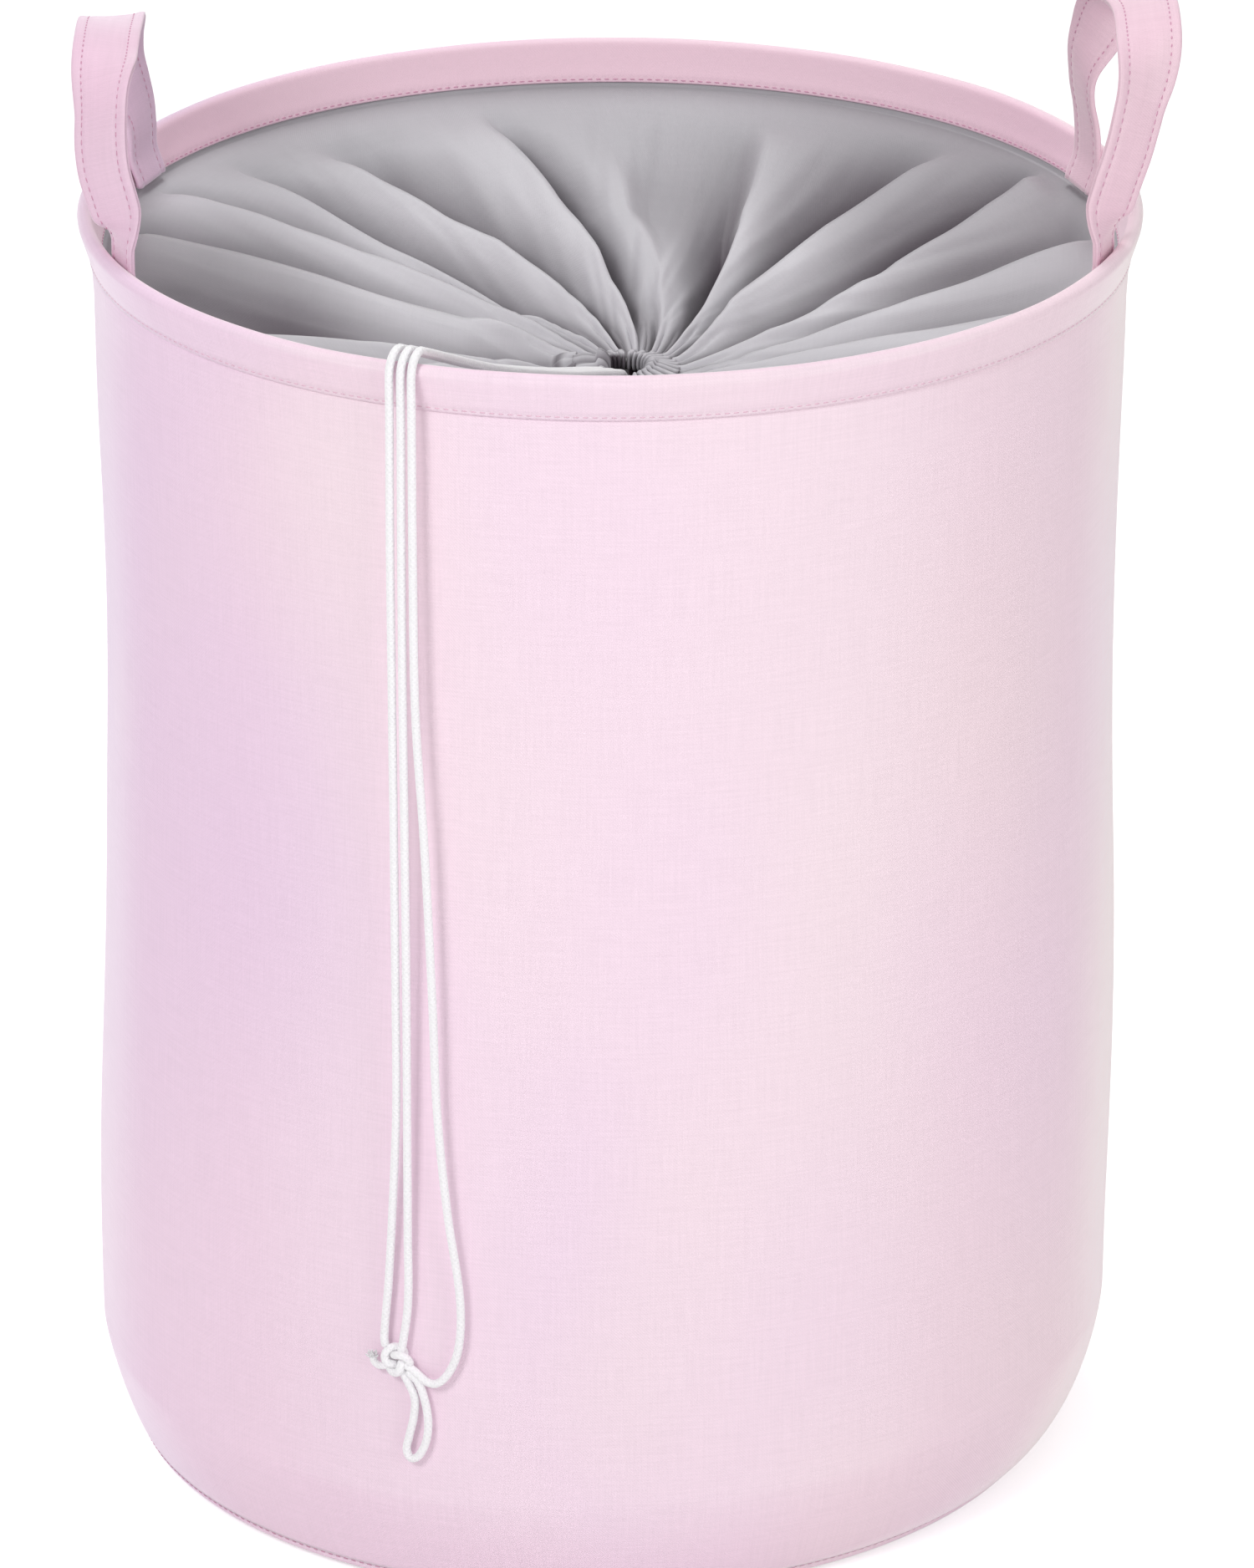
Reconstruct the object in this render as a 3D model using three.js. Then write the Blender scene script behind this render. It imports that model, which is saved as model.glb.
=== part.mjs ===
// Pop-up laundry hamper: a round tub of coated cloth whose rim is hemmed over a steel hoop,
// with two sewn strap handles and a thin cover drawn shut at its middle by a cord.
// Millimetres, +Z up. The origin is the middle of the base's underside, and the cord hangs at -Y.

import * as THREE from 'three';
import { mergeVertices } from 'three/addons/utils/BufferGeometryUtils.js';

// Whole hamper
const hamperHeight = 500; // floor to the top of the rim
const rimRadius = 201.5; // outside of the rolled rim
const seamGap = 0.3; // room between layers that are sewn together

// Tub wall and base
const wallCloth = 1.2;
const throatSetback = 6; // the wall's outside at the foot of the hem, in from the rim's outside
const waistSetback = 7.8;
const waistHeight = 350;
const bellySetback = 2.9;
const bellyHeight = 95;
const cornerHeight = 50; // where the rounded lower edge ends
const cornerReach = 15.6; // and how far in it turns
const baseSeamHeight = 5;
const baseEdge = 8; // width of the base's turned-up edge
const baseCloth = 1.4;
const bindingWidth = 10; // bound seam allowance that leans in over the base
const bindingThickness = 2;
const bindingLean = Math.PI / 5;
const sideTapeWidth = 14; // tape over the wall's one upright seam, inside at the back
const sideTapeThickness = 0.8;
const sideTapeGap = 0.5;
const sideTapeFoot = 20;
const sideTapeStop = 7; // the tape ends this far below the hem

// Hem and the hoop inside it
const hoopWire = 3;
const hemCloth = 1.2;
const hemHeight = 17;
const tuck = 6; // how far the wall and the cover reach up between the hem's plies

// Cover and its drawstring channel
const coverCloth = 0.8;
const coverShoulder = 1.5; // drop where the cover turns in under the hem's inner ply
const mouthX = 6;
const mouthY = -4;
const mouthDrop = 69; // below the rim
const channelRadius = 11.5; // middle of the cord that runs in the channel
const channelCloth = 0.6;
const channelWidth = 9; // from the middle of the cord to the channel's sewn edge
const pleatDepth = 0.7;
const pleatSamples = 4;
const coverSag = 3;
const crestRise = 9;
const valleyDrop = 13;

// Cord
const cordDiameter = 3.2;
const cordBend = 7.6; // radius in which the cord turns over the rim and out of the mouth
const cordStand = 0.7; // hanging cord stands off the rim by this much
const cordLift = 2; // and lies this far above it where it crosses
const strandSpacing = 3.7;
const mouthStrandShift = 2.5;
const knotRadius = 4.6; // middle of the turns that make up the knot
const knotTurn = 2.1;

// Strap handles
const strapWidth = 25;
const strapThickness = 2.6;
const leftFeetSpacing = 136; // between the middles of one handle's feet
const rightFeetSpacing = 120;
const hingeRise = 3.5; // where the strap starts to bend, above the rim
const tabGap = 1; // a flat strap end stands off the curved hem by this much
const twistStart = 4; // the strap turns its face from this far above the hinge
const twistRun = 75; // and over this length
const footStart = 1; // the strap's ends start this far above the hem's lower edge
const leftRise = 61;
const rightRise = 73;
const leftLean = 10; // how far a standing handle leans out
const rightLean = 22;
const leftTurn = 0;
const rightTurn = 8; // the right handle's front leg stands out by this, its rear leg in

// Worked out from the above
const rollRadius = hoopWire / 2 + seamGap + hemCloth;
const hoopRadius = rimRadius - rollRadius;
const hoopHeight = hamperHeight - rollRadius;
const hemFoot = hamperHeight - hemHeight;
const throatRadius = rimRadius - throatSetback;
const waistRadius = rimRadius - waistSetback;
const bellyRadius = rimRadius - bellySetback;
const baseSeamRadius = bellyRadius - cornerReach;
const baseFlatRadius = baseSeamRadius - baseEdge;
const mouthHeight = hamperHeight - mouthDrop;
const hemOuterFoot = throatRadius + seamGap + hemCloth;
const collarOuter = throatRadius - wallCloth - seamGap;
const hemInnerFoot = collarOuter - coverCloth - seamGap - hemCloth;
const plyMiddle = (hemOuterFoot + hemInnerFoot) / 2;
const hemFlare = hoopRadius - plyMiddle;
const hingeHeight = hamperHeight + hingeRise;

// Counts and shares
const turnSteps = 64;
const wallCornerShares = [0, 0.09, 0.28, 0.6, 1];
const wallUpperShares = [0.5, 1];
const foldCrestShares = [4, 8, 12, 16, 18, 23, 26, 28, 31, 35, 39, 44, 48, 52, 56, 60, 63].map(
  (sample) => sample / turnSteps,
);
const cornerCurveShare = 1.45; // exponent of the lower edge's curve, 1 for straight and 2 for round
const fullFoldShare = 4 / turnSteps; // a fold this wide has its full depth
const coverFlatShare = 0.985; // the cover runs level from here into the channel
const leftLeanShare = 0.6; // share of its rise at which a handle leans out in full
const rightLeanShare = 1.3;
const turnShare = 0.3; // and at which its legs are turned in full
const coverRingShares = [0, 0.08, 0.27, 0.47, 0.67, 0.85, coverFlatShare, 1];

// Ways down the outside, as [x, height], in shares of the rim's radius and of the hamper's height.
const leftStrandShares = [
  [-0.3916, 0.958],
  [-0.3931, 0.86],
  [-0.3926, 0.732],
  [-0.3921, 0.628],
  [-0.3921, 0.5],
  [-0.3931, 0.414],
  [-0.4, 0.348],
  [-0.4104, 0.274],
  [-0.4203, 0.2236],
];
const middleStrandShares = [
  [-0.3712, 0.96],
  [-0.3727, 0.86],
  [-0.3732, 0.732],
  [-0.3722, 0.63],
  [-0.3722, 0.5],
  [-0.3732, 0.414],
  [-0.3742, 0.314],
  [-0.3752, 0.256],
  [-0.3871, 0.218],
];
const rightStrandShares = [
  [-0.3519, 0.96],
  [-0.3524, 0.86],
  [-0.3504, 0.734],
  [-0.3365, 0.63],
  [-0.3241, 0.504],
  [-0.3176, 0.418],
  [-0.3002, 0.336],
  [-0.2779, 0.266],
  [-0.2809, 0.226],
  [-0.3017, 0.202],
  [-0.3305, 0.192],
  [-0.3682, 0.2012],
];
const endLoopShares = [
  [-0.3931, 0.196],
  [-0.3787, 0.188],
  [-0.3633, 0.174],
  [-0.3643, 0.158],
  [-0.3732, 0.143],
  [-0.3792, 0.133],
  [-0.3707, 0.1266],
  [-0.3553, 0.1314],
  [-0.3424, 0.1438],
  [-0.3375, 0.1594],
  [-0.3454, 0.176],
];
const knotShares = [-0.407, 0.208];

// A handle from one foot to its top, as shares of half the feet's spacing and of its rise.
const strapShares = [
  [1, 0],
  [1, 0.1],
  [0.88, 0.24],
  [0.81, 0.42],
  [0.76, 0.64],
  [0.6, 0.85],
  [0.32, 0.97],
  [0, 1],
];

const clothMaterial = (color, roughness) =>
  new THREE.MeshStandardMaterial({ color, roughness, metalness: 0 });
const pinkCloth = clothMaterial(0xf1d9e6, 0.85);
const hemPink = clothMaterial(0xeccbdc, 0.85);
const greyCloth = clothMaterial(0xb9b7bc, 0.6);
const whiteCord = clothMaterial(0xf4f1f6, 0.7);
const whiteTape = clothMaterial(0xf0e8ee, 0.9);
const steel = new THREE.MeshStandardMaterial({ color: 0xb0b2b5, roughness: 0.35, metalness: 1 });

const hamper = new THREE.Group();

// Adds a named piece to the hamper.
function piece(name, geometry, material) {
  const mesh = new THREE.Mesh(geometry, material);
  mesh.name = name;
  hamper.add(mesh);
  return mesh;
}

// Six times the volume that a closed surface holds, negative where its faces point in.
function signedVolume(geometry) {
  const corners = geometry.getAttribute('position');
  const a = new THREE.Vector3();
  const b = new THREE.Vector3();
  const c = new THREE.Vector3();
  let sum = 0;
  for (let i = 0; i < geometry.index.count; i += 3) {
    a.fromBufferAttribute(corners, geometry.index.getX(i));
    b.fromBufferAttribute(corners, geometry.index.getX(i + 1));
    c.fromBufferAttribute(corners, geometry.index.getX(i + 2));
    sum += a.dot(b.cross(c));
  }
  return sum;
}

// Shares the vertices of a closed surface and turns its faces outwards.
function closedSolid(geometry) {
  geometry.deleteAttribute('normal');
  geometry.deleteAttribute('uv');
  const solid = mergeVertices(geometry);
  if (signedVolume(solid) < 0) {
    const index = solid.index;
    for (let i = 0; i < index.count; i += 3) {
      const second = index.getX(i + 1);
      index.setX(i + 1, index.getX(i + 2));
      index.setX(i + 2, second);
    }
  }
  solid.computeVertexNormals();
  return solid;
}

// A surface from points and faces, closed and turned outwards.
function solidFrom(points, faces) {
  const geometry = new THREE.BufferGeometry();
  const flat = points.flatMap((point) => [point.x, point.y, point.z]);
  geometry.setAttribute('position', new THREE.Float32BufferAttribute(flat, 3));
  geometry.setIndex(faces.flat());
  return closedSolid(geometry);
}

// Turns a closed outline of [radius, height] about the hamper's axis.
function revolve(outline) {
  const onAxis = outline[0][0] === 0;
  const points = outline.map(([radius, height]) => new THREE.Vector2(radius, height));
  if (!onAxis) points.push(points[0].clone());
  const lathe = new THREE.LatheGeometry(points, turnSteps);
  lathe.rotateX(Math.PI / 2);
  return closedSolid(lathe);
}

// Joins rings of points, each with as many points, into one solid; a run that isn't a loop is capped.
// From the point number turned on, the faces are split the other way, so that the two sides of a
// thin sheet are split alike.
function loft(rings, looped = false, turned = Infinity) {
  const size = rings[0].length;
  const faces = [];
  const last = looped ? rings.length : rings.length - 1;
  for (let i = 0; i < last; i += 1) {
    const near = i * size;
    const far = ((i + 1) % rings.length) * size;
    for (let j = 0; j < size; j += 1) {
      const next = (j + 1) % size;
      if (j < turned) {
        faces.push([near + j, near + next, far + next], [near + j, far + next, far + j]);
      } else {
        faces.push([near + j, near + next, far + j], [near + next, far + next, far + j]);
      }
    }
  }
  if (!looped) {
    const end = (rings.length - 1) * size;
    for (let j = 1; j < size - 1; j += 1) {
      faces.push([0, j + 1, j]);
      faces.push([end, end + j, end + j + 1]);
    }
  }
  return solidFrom(rings.flat(), faces);
}

const mix = (from, to, share) => from + (to - from) * share;
const ease = (share) => share * share * (3 - 2 * share);

// Points on part of a circle, from one angle to another.
function arc(centreRadius, centreHeight, radius, from, to, steps) {
  const points = [];
  for (let i = 0; i <= steps; i += 1) {
    const angle = mix(from, to, i / steps);
    points.push([centreRadius + radius * Math.cos(angle), centreHeight + radius * Math.sin(angle)]);
  }
  return points;
}

// How far the hem's middle layers lean out at a height.
const lean = (height) => ((height - hemFoot) / (hoopHeight - hemFoot)) * hemFlare;

// The wall's outside radius at a height.
function wallRadius(height) {
  if (height <= cornerHeight) {
    const share = (height - baseSeamHeight) / (cornerHeight - baseSeamHeight);
    const round = (1 - (1 - Math.max(share, 0)) ** cornerCurveShare) ** (1 / cornerCurveShare);
    return mix(baseSeamRadius, bellyRadius, round);
  }
  if (height <= bellyHeight) return bellyRadius;
  if (height <= waistHeight) {
    return mix(bellyRadius, waistRadius, ease((height - bellyHeight) / (waistHeight - bellyHeight)));
  }
  if (height <= hemFoot) {
    return mix(waistRadius, throatRadius, ease((height - waistHeight) / (hemFoot - waistHeight)));
  }
  return throatRadius + lean(height);
}

// Heights at which the wall has a row of points.
function wallHeights() {
  const foot = baseSeamHeight + seamGap;
  const corner = wallCornerShares.map((share) => mix(foot, cornerHeight, share));
  const middle = [bellyHeight].concat(
    wallUpperShares.map((share) => mix(bellyHeight, waistHeight, share)),
  );
  const upper = wallUpperShares.map((share) => mix(waistHeight, hemFoot, share));
  return [...corner, ...middle, ...upper, hemFoot + tuck];
}

function makeWall() {
  const heights = wallHeights();
  const outside = heights.map((height) => [wallRadius(height), height]);
  const inside = heights.map((height) => [wallRadius(height) - wallCloth, height]);
  piece('wall_fabric', revolve([...outside, ...inside.reverse()]), pinkCloth);

  const rings = heights
    .filter((height) => height > sideTapeFoot && height < hemFoot - sideTapeStop)
    .concat([sideTapeFoot, hemFoot - sideTapeStop])
    .sort((a, b) => a - b)
    .map((height) => {
      const face = wallRadius(height) - wallCloth - sideTapeGap;
      const half = sideTapeWidth / 2;
      return [
        new THREE.Vector3(-half, face, height),
        new THREE.Vector3(half, face, height),
        new THREE.Vector3(half, face - sideTapeThickness, height),
        new THREE.Vector3(-half, face - sideTapeThickness, height),
      ];
    });
  piece('side_seam_tape', loft(rings), whiteTape);
}

// The base is a disc of cloth whose edge turns up to its seam with the wall.
function makeBase() {
  const rise = (share) => baseSeamHeight * (1 - Math.sqrt(1 - share * share));
  const edge = [0.5, 0.85, 1].map((share) => [
    mix(baseFlatRadius, baseSeamRadius, share),
    rise(share),
  ]);
  const inner = [1, 0.5].map((share) => [
    mix(baseFlatRadius, baseSeamRadius - baseCloth, share),
    Math.max(rise(share), baseCloth),
  ]);
  const under = [[0, 0], [baseFlatRadius, 0], ...edge];
  const over = [...inner, [baseFlatRadius - baseCloth, baseCloth], [0, baseCloth]];
  piece('base_panel', revolve([...under, ...over]), pinkCloth);

  const half = bindingThickness / 2;
  const across = [Math.sin(bindingLean) * half, Math.cos(bindingLean) * half];
  const rootRadius = baseSeamRadius - baseCloth - seamGap + across[0];
  const rootHeight = baseSeamHeight + seamGap + across[1];
  const tipRadius = rootRadius - bindingWidth * Math.cos(bindingLean);
  const tipHeight = rootHeight + bindingWidth * Math.sin(bindingLean);
  piece(
    'base_seam_binding',
    revolve([
      [rootRadius - across[0], rootHeight - across[1]],
      [tipRadius - across[0], tipHeight - across[1]],
      [tipRadius - half, tipHeight + half],
      [tipRadius + across[0], tipHeight + across[1]],
      [rootRadius + across[0], rootHeight + across[1]],
    ]),
    whiteTape,
  );
}

// The hem is one strip folded over the hoop, so it is open below, between its two plies.
function makeRim() {
  const tunnel = rollRadius - hemCloth;
  const outline = [
    [hemOuterFoot, hemFoot],
    ...arc(hoopRadius, hoopHeight, rollRadius, 0, Math.PI, 7),
    [hemInnerFoot, hemFoot],
    [hemInnerFoot + hemCloth, hemFoot],
    ...arc(hoopRadius, hoopHeight, tunnel, Math.PI, 0, 5),
    [hemOuterFoot - hemCloth, hemFoot],
  ];
  piece('rim_hem', revolve(outline), hemPink);
  const wire = arc(hoopRadius, hoopHeight, hoopWire / 2, 0, Math.PI * 2, 6).slice(0, -1);
  piece('rim_hoop_wire', revolve(wire), steel);
}

// How high a fold stands at a share of the turn: 1 on a crest, -1 in a full valley.
function foldHeight(share) {
  const count = foldCrestShares.length;
  for (let i = 0; i < count; i += 1) {
    const from = foldCrestShares[i];
    const to = foldCrestShares[(i + 1) % count] + (i + 1 === count ? 1 : 0);
    const place = share < foldCrestShares[0] ? share + 1 : share;
    if (place >= from && place < to) {
      const depth = Math.min(1, (to - from) / fullFoldShare);
      return 1 - 2 * depth * Math.sin((Math.PI * (place - from)) / (to - from)) ** 0.8;
    }
  }
  return 1;
}

// Rise and fall of the gathers round the mouth.
const pleat = (sample) => pleatDepth * Math.cos((2 * Math.PI * sample) / pleatSamples);

// Middle of the cover's cloth: share 0 is under the hem, share 1 is in the channel.
function coverPoint(share, sample) {
  const angle = (2 * Math.PI * sample) / turnSteps;
  const outerRadius = hemInnerFoot - coverShoulder;
  const outerHeight = hemFoot - coverShoulder - coverCloth;
  const innerRadius = channelRadius + channelWidth - seamGap - channelCloth;
  const radius = mix(outerRadius, innerRadius, share);
  const sloped = Math.min(1, share / coverFlatShare);
  const swell = Math.max(0, Math.sin(Math.PI * sloped ** 1.3)) ** 0.8;
  const fold = foldHeight(sample / turnSteps);
  const stand = fold > 0 ? fold * crestRise : fold * valleyDrop;
  const straight = mix(outerHeight, mouthHeight, sloped);
  const height = straight - coverSag * Math.sin(Math.PI * sloped) + stand * swell;
  const gather = share > 0.9 ? pleat(sample) : 0;
  return new THREE.Vector3(
    mouthX * share + radius * Math.cos(angle),
    mouthY * share + radius * Math.sin(angle),
    height + gather,
  );
}

// Turns a closed outline of [radius, height] about the mouth, rising and falling with its gathers.
function gathered(outline) {
  const rings = [];
  for (let sample = 0; sample < turnSteps; sample += 1) {
    const angle = (2 * Math.PI * sample) / turnSteps;
    rings.push(
      outline.map(
        ([radius, height]) =>
          new THREE.Vector3(
            mouthX + radius * Math.cos(angle),
            mouthY + radius * Math.sin(angle),
            height + pleat(sample),
          ),
      ),
    );
  }
  return loft(rings, true);
}

function makeCover() {
  const half = coverCloth / 2;
  const collarMiddle = collarOuter - half;
  const rows = [];
  for (let sample = 0; sample < turnSteps; sample += 1) {
    const angle = (2 * Math.PI * sample) / turnSteps;
    const around = (radius, height) =>
      new THREE.Vector3(radius * Math.cos(angle), radius * Math.sin(angle), height);
    const top = hemFoot + tuck;
    const bend = hemFoot - coverShoulder;
    const over = [
      around(collarMiddle + lean(top) - half, top),
      around(collarMiddle - half, hemFoot - seamGap),
    ];
    const under = [
      around(collarMiddle + lean(top) + half, top),
      around(collarMiddle + half, hemFoot),
      around(collarMiddle + half, bend),
    ];
    for (const share of coverRingShares) {
      const point = coverPoint(share, sample);
      over.push(point.clone().add(new THREE.Vector3(0, 0, half)));
      under.push(point.clone().add(new THREE.Vector3(0, 0, -half)));
    }
    rows.push([...over, ...under.reverse()]);
  }
  piece('cover_cloth', loft(rows, true, coverRingShares.length + 2), greyCloth);

  // The channel is the cover's edge strip, folded round the cord and gathered on it.
  const tube = cordDiameter / 2 + seamGap + channelCloth;
  const reach = channelRadius + channelWidth;
  const ply = coverCloth / 2 + seamGap + channelCloth;
  const channel = [
    [reach, mouthHeight + ply],
    ...arc(channelRadius, mouthHeight, tube, Math.PI / 2, (3 * Math.PI) / 2, 4),
    [reach, mouthHeight - ply],
    [reach, mouthHeight - ply + channelCloth],
    ...arc(channelRadius, mouthHeight, tube - channelCloth, (3 * Math.PI) / 2, Math.PI / 2, 4),
    [reach, mouthHeight + ply - channelCloth],
  ];
  piece('cover_channel', gathered(channel), greyCloth);
  const cord = arc(channelRadius, mouthHeight, cordDiameter / 2, 0, Math.PI * 2, 5).slice(0, -1);
  piece('channel_cord', gathered(cord), whiteCord);
}

// A strip of cloth with a rectangular section, from [middle, width direction, face direction, thickness].
function strip(sections) {
  return loft(
    sections.map(([middle, across, face, thickness]) => {
      const reach = across.clone().multiplyScalar(strapWidth / 2);
      const depth = face.clone().multiplyScalar(thickness / 2);
      return [
        middle.clone().sub(reach).sub(depth),
        middle.clone().add(reach).sub(depth),
        middle.clone().add(reach).add(depth),
        middle.clone().sub(reach).add(depth),
      ];
    }),
  );
}

const footRadius = hemInnerFoot - tabGap - strapThickness / 2;
const hingeReach = (footHalf) => Math.sqrt(footRadius ** 2 - footHalf ** 2);

// A foot is sewn flat on the hem's inside; it turns to face along X before it reaches the hinge.
function makeTab(name, side, end, footHalf) {
  const hingeX = hingeReach(footHalf);
  const top = hingeHeight - strapThickness / 2 - seamGap;
  const footTurn = Math.atan2(footHalf, hingeX);
  const sections = [0, 0.25, 0.5, 0.75, 1].map((share) => {
    const turn = footTurn * (1 - ease(share)) * side * end;
    const middle = new THREE.Vector3(side * hingeX, end * footHalf, mix(hemFoot + footStart, top, share));
    const across = new THREE.Vector3(-Math.sin(turn), Math.cos(turn), 0);
    const face = new THREE.Vector3(Math.cos(turn), Math.sin(turn), 0);
    return [middle, across, face, strapThickness];
  });
  piece(name, strip(sections), hemPink);
}

// The strap leaves the hinges flat to the hem, turns its face, and arches over on its edge.
function makeStrap(name, side, footHalf, rise, lean, leanShare, turn) {
  const points = [...strapShares, ...strapShares.slice(0, -1).map(([y, z]) => [-y, z]).reverse()].map(
    ([span, height]) => {
      const outwards = ease(Math.min(1, height / leanShare)) * lean;
      const turned = ease(Math.min(1, height / turnShare)) * turn * span;
      const x = side * (hingeReach(footHalf) + outwards - turned);
      return new THREE.Vector3(x, span * footHalf, hingeHeight + height * rise);
    },
  );
  const path = new THREE.CatmullRomCurve3(points);
  const length = path.getLength();
  const steps = 26;
  const flat = twistStart / length;
  const shares = [0];
  for (let i = 0; i <= steps; i += 1) shares.push(mix(flat, 1 - flat, i / steps));
  shares.push(1);
  const outwards = new THREE.Vector3(1, 0, 0);
  const sections = shares.map((share) => {
    const tangent = path.getTangentAt(share);
    const beside = new THREE.Vector3().crossVectors(tangent, outwards).normalize();
    const radial = new THREE.Vector3().crossVectors(beside, tangent).normalize();
    const run = Math.max(0, Math.min(share, 1 - share) * length - twistStart);
    const twist = (Math.PI / 2) * ease(Math.min(1, run / twistRun));
    const across = beside
      .clone()
      .multiplyScalar(Math.cos(twist))
      .addScaledVector(radial, Math.sin(twist));
    const face = new THREE.Vector3().crossVectors(across, tangent).normalize();
    return [path.getPointAt(share), across, face, strapThickness];
  });
  const nose = (section, tangent) =>
    [0.42, 0.87, 1.31].map((angle) => {
      const middle = section[0].clone().addScaledVector(tangent, (Math.sin(angle) * strapThickness) / 2);
      return [middle, section[1], section[2], strapThickness * Math.cos(angle)];
    });
  const first = nose(sections[0], path.getTangentAt(0).negate()).reverse();
  const last = nose(sections[sections.length - 1], path.getTangentAt(1));
  piece(name, strip([...first, ...sections, ...last]), hemPink);
}

function makeHandles() {
  const leftHalf = leftFeetSpacing / 2;
  makeTab('left_handle_front_tab', -1, -1, leftHalf);
  makeTab('left_handle_rear_tab', -1, 1, leftHalf);
  makeStrap('left_handle_strap', -1, leftHalf, leftRise, leftLean, leftLeanShare, leftTurn);
  const rightHalf = rightFeetSpacing / 2;
  makeTab('right_handle_front_tab', 1, -1, rightHalf);
  makeTab('right_handle_rear_tab', 1, 1, rightHalf);
  makeStrap('right_handle_strap', 1, rightHalf, rightRise, rightLean, rightLeanShare, rightTurn);
}

// A route that is stepped from point to point, so the cord has a ring of faces at each of them.
class Route extends THREE.CatmullRomCurve3 {
  getPointAt(share, target) {
    return this.getPoint(share, target);
  }

  getTangentAt(share, target) {
    return this.getTangent(share, target);
  }
}

// Round cord along a list of points.
function cordAlong(points) {
  const section = new THREE.Shape();
  for (let i = 0; i < 8; i += 1) {
    const angle = (Math.PI * i) / 4;
    const x = (cordDiameter / 2) * Math.cos(angle);
    const y = (cordDiameter / 2) * Math.sin(angle);
    if (i === 0) section.moveTo(x, y);
    else section.lineTo(x, y);
  }
  const extrudePath = new Route(points);
  const steps = points.length - 1;
  return closedSolid(new THREE.ExtrudeGeometry(section, { steps, extrudePath, bevelEnabled: false }));
}

const hangRadius = rimRadius + cordStand + cordDiameter / 2;
function hang([across, up]) {
  const x = across * rimRadius;
  return new THREE.Vector3(x, -Math.sqrt(hangRadius ** 2 - x ** 2), up * hamperHeight);
}

// A strand rises out of the mouth, runs straight to the rim, turns over it and hangs.
function makeStrand(name, place, route) {
  const top = hang(route[0]);
  const bearing = Math.atan2(top.y, top.x);
  const rimPoint = (angle) => {
    const radius = hangRadius + cordBend * (Math.cos(angle) - 1);
    const height = hamperHeight + cordLift + cordDiameter / 2 + cordBend * (Math.sin(angle) - 1);
    return new THREE.Vector3(radius * Math.cos(bearing), radius * Math.sin(bearing), height);
  };
  const start = new THREE.Vector3(
    mouthX - mouthStrandShift + place * strandSpacing * Math.sin(bearing),
    mouthY - place * strandSpacing * Math.cos(bearing),
    mouthHeight - cordDiameter,
  );
  const leaving = rimPoint(Math.PI * 0.61);
  const ahead = leaving.clone().sub(start).setZ(0).normalize();
  const mouthPoint = (angle) =>
    start
      .clone()
      .addScaledVector(ahead, cordBend * (1 - Math.cos(angle)))
      .setZ(mouthHeight + cordBend * Math.sin(angle));
  const bend = [0, 0.55, 1.2].map(mouthPoint);
  const across = [0.3, 0.65].map((share) => bend[2].clone().lerp(leaving, share));
  const over = [0.5, 0.33, 0.17, 0].map((share) => rimPoint(Math.PI * share));
  const points = [start, ...bend, ...across, leaving, ...over, ...route.map(hang)];
  piece(name, cordAlong(points), whiteCord);
}

function makeCords() {
  makeStrand('drawstring_left', 1, leftStrandShares);
  makeStrand('drawstring_middle', 0, middleStrandShares);
  makeStrand('drawstring_right', -1, rightStrandShares);
  piece('drawstring_end_loop', cordAlong(endLoopShares.map(hang)), whiteCord);

  // The knot is an overhand turn drawn up flat against the wall.
  const centre = hang(knotShares);
  const out = new THREE.Vector3(centre.x, centre.y, 0).normalize();
  const side = new THREE.Vector3(0, 0, 1).cross(out);
  const steps = 36;
  const points = [];
  for (let i = 0; i < steps; i += 1) {
    const angle = (2 * Math.PI * i) / steps;
    const radius = knotRadius + knotTurn * Math.cos(3 * angle);
    const point = centre.clone().addScaledVector(out, knotTurn * Math.sin(3 * angle));
    point.addScaledVector(side, radius * Math.cos(2 * angle));
    points.push(point.setZ(centre.z + radius * Math.sin(2 * angle)));
  }
  const path = new THREE.CatmullRomCurve3(points, true);
  const frames = path.computeFrenetFrames(steps, true);
  const rings = [];
  for (let i = 0; i < steps; i += 1) {
    const middle = path.getPointAt(i / steps);
    const ring = [];
    for (let j = 0; j < 6; j += 1) {
      const angle = (Math.PI * j) / 3;
      ring.push(
        middle
          .clone()
          .addScaledVector(frames.normals[i], (Math.cos(angle) * cordDiameter) / 2)
          .addScaledVector(frames.binormals[i], (Math.sin(angle) * cordDiameter) / 2),
      );
    }
    rings.push(ring);
  }
  piece('drawstring_knot', loft(rings, true), whiteCord);
}

makeWall();
makeBase();
makeRim();
makeHandles();
makeCover();
makeCords();

export default hamper;
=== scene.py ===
# %% [markdown]
# # A pop-up laundry hamper
#
# The hamper is a tub of coated cloth. Its rim is hemmed over a steel hoop, a strap handle stands on
# each side, and a thin grey cover inside the rim is drawn shut by a cord that hangs down the front.
# Everything here is soft, so nearly every piece is made as a tailor would make it: a flat grid is
# the cut cloth, and it is rolled, folded or gathered into its place.

import math
import random

import bmesh
import bpy
from mathutils import Matrix, Vector, geometry, noise


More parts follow.
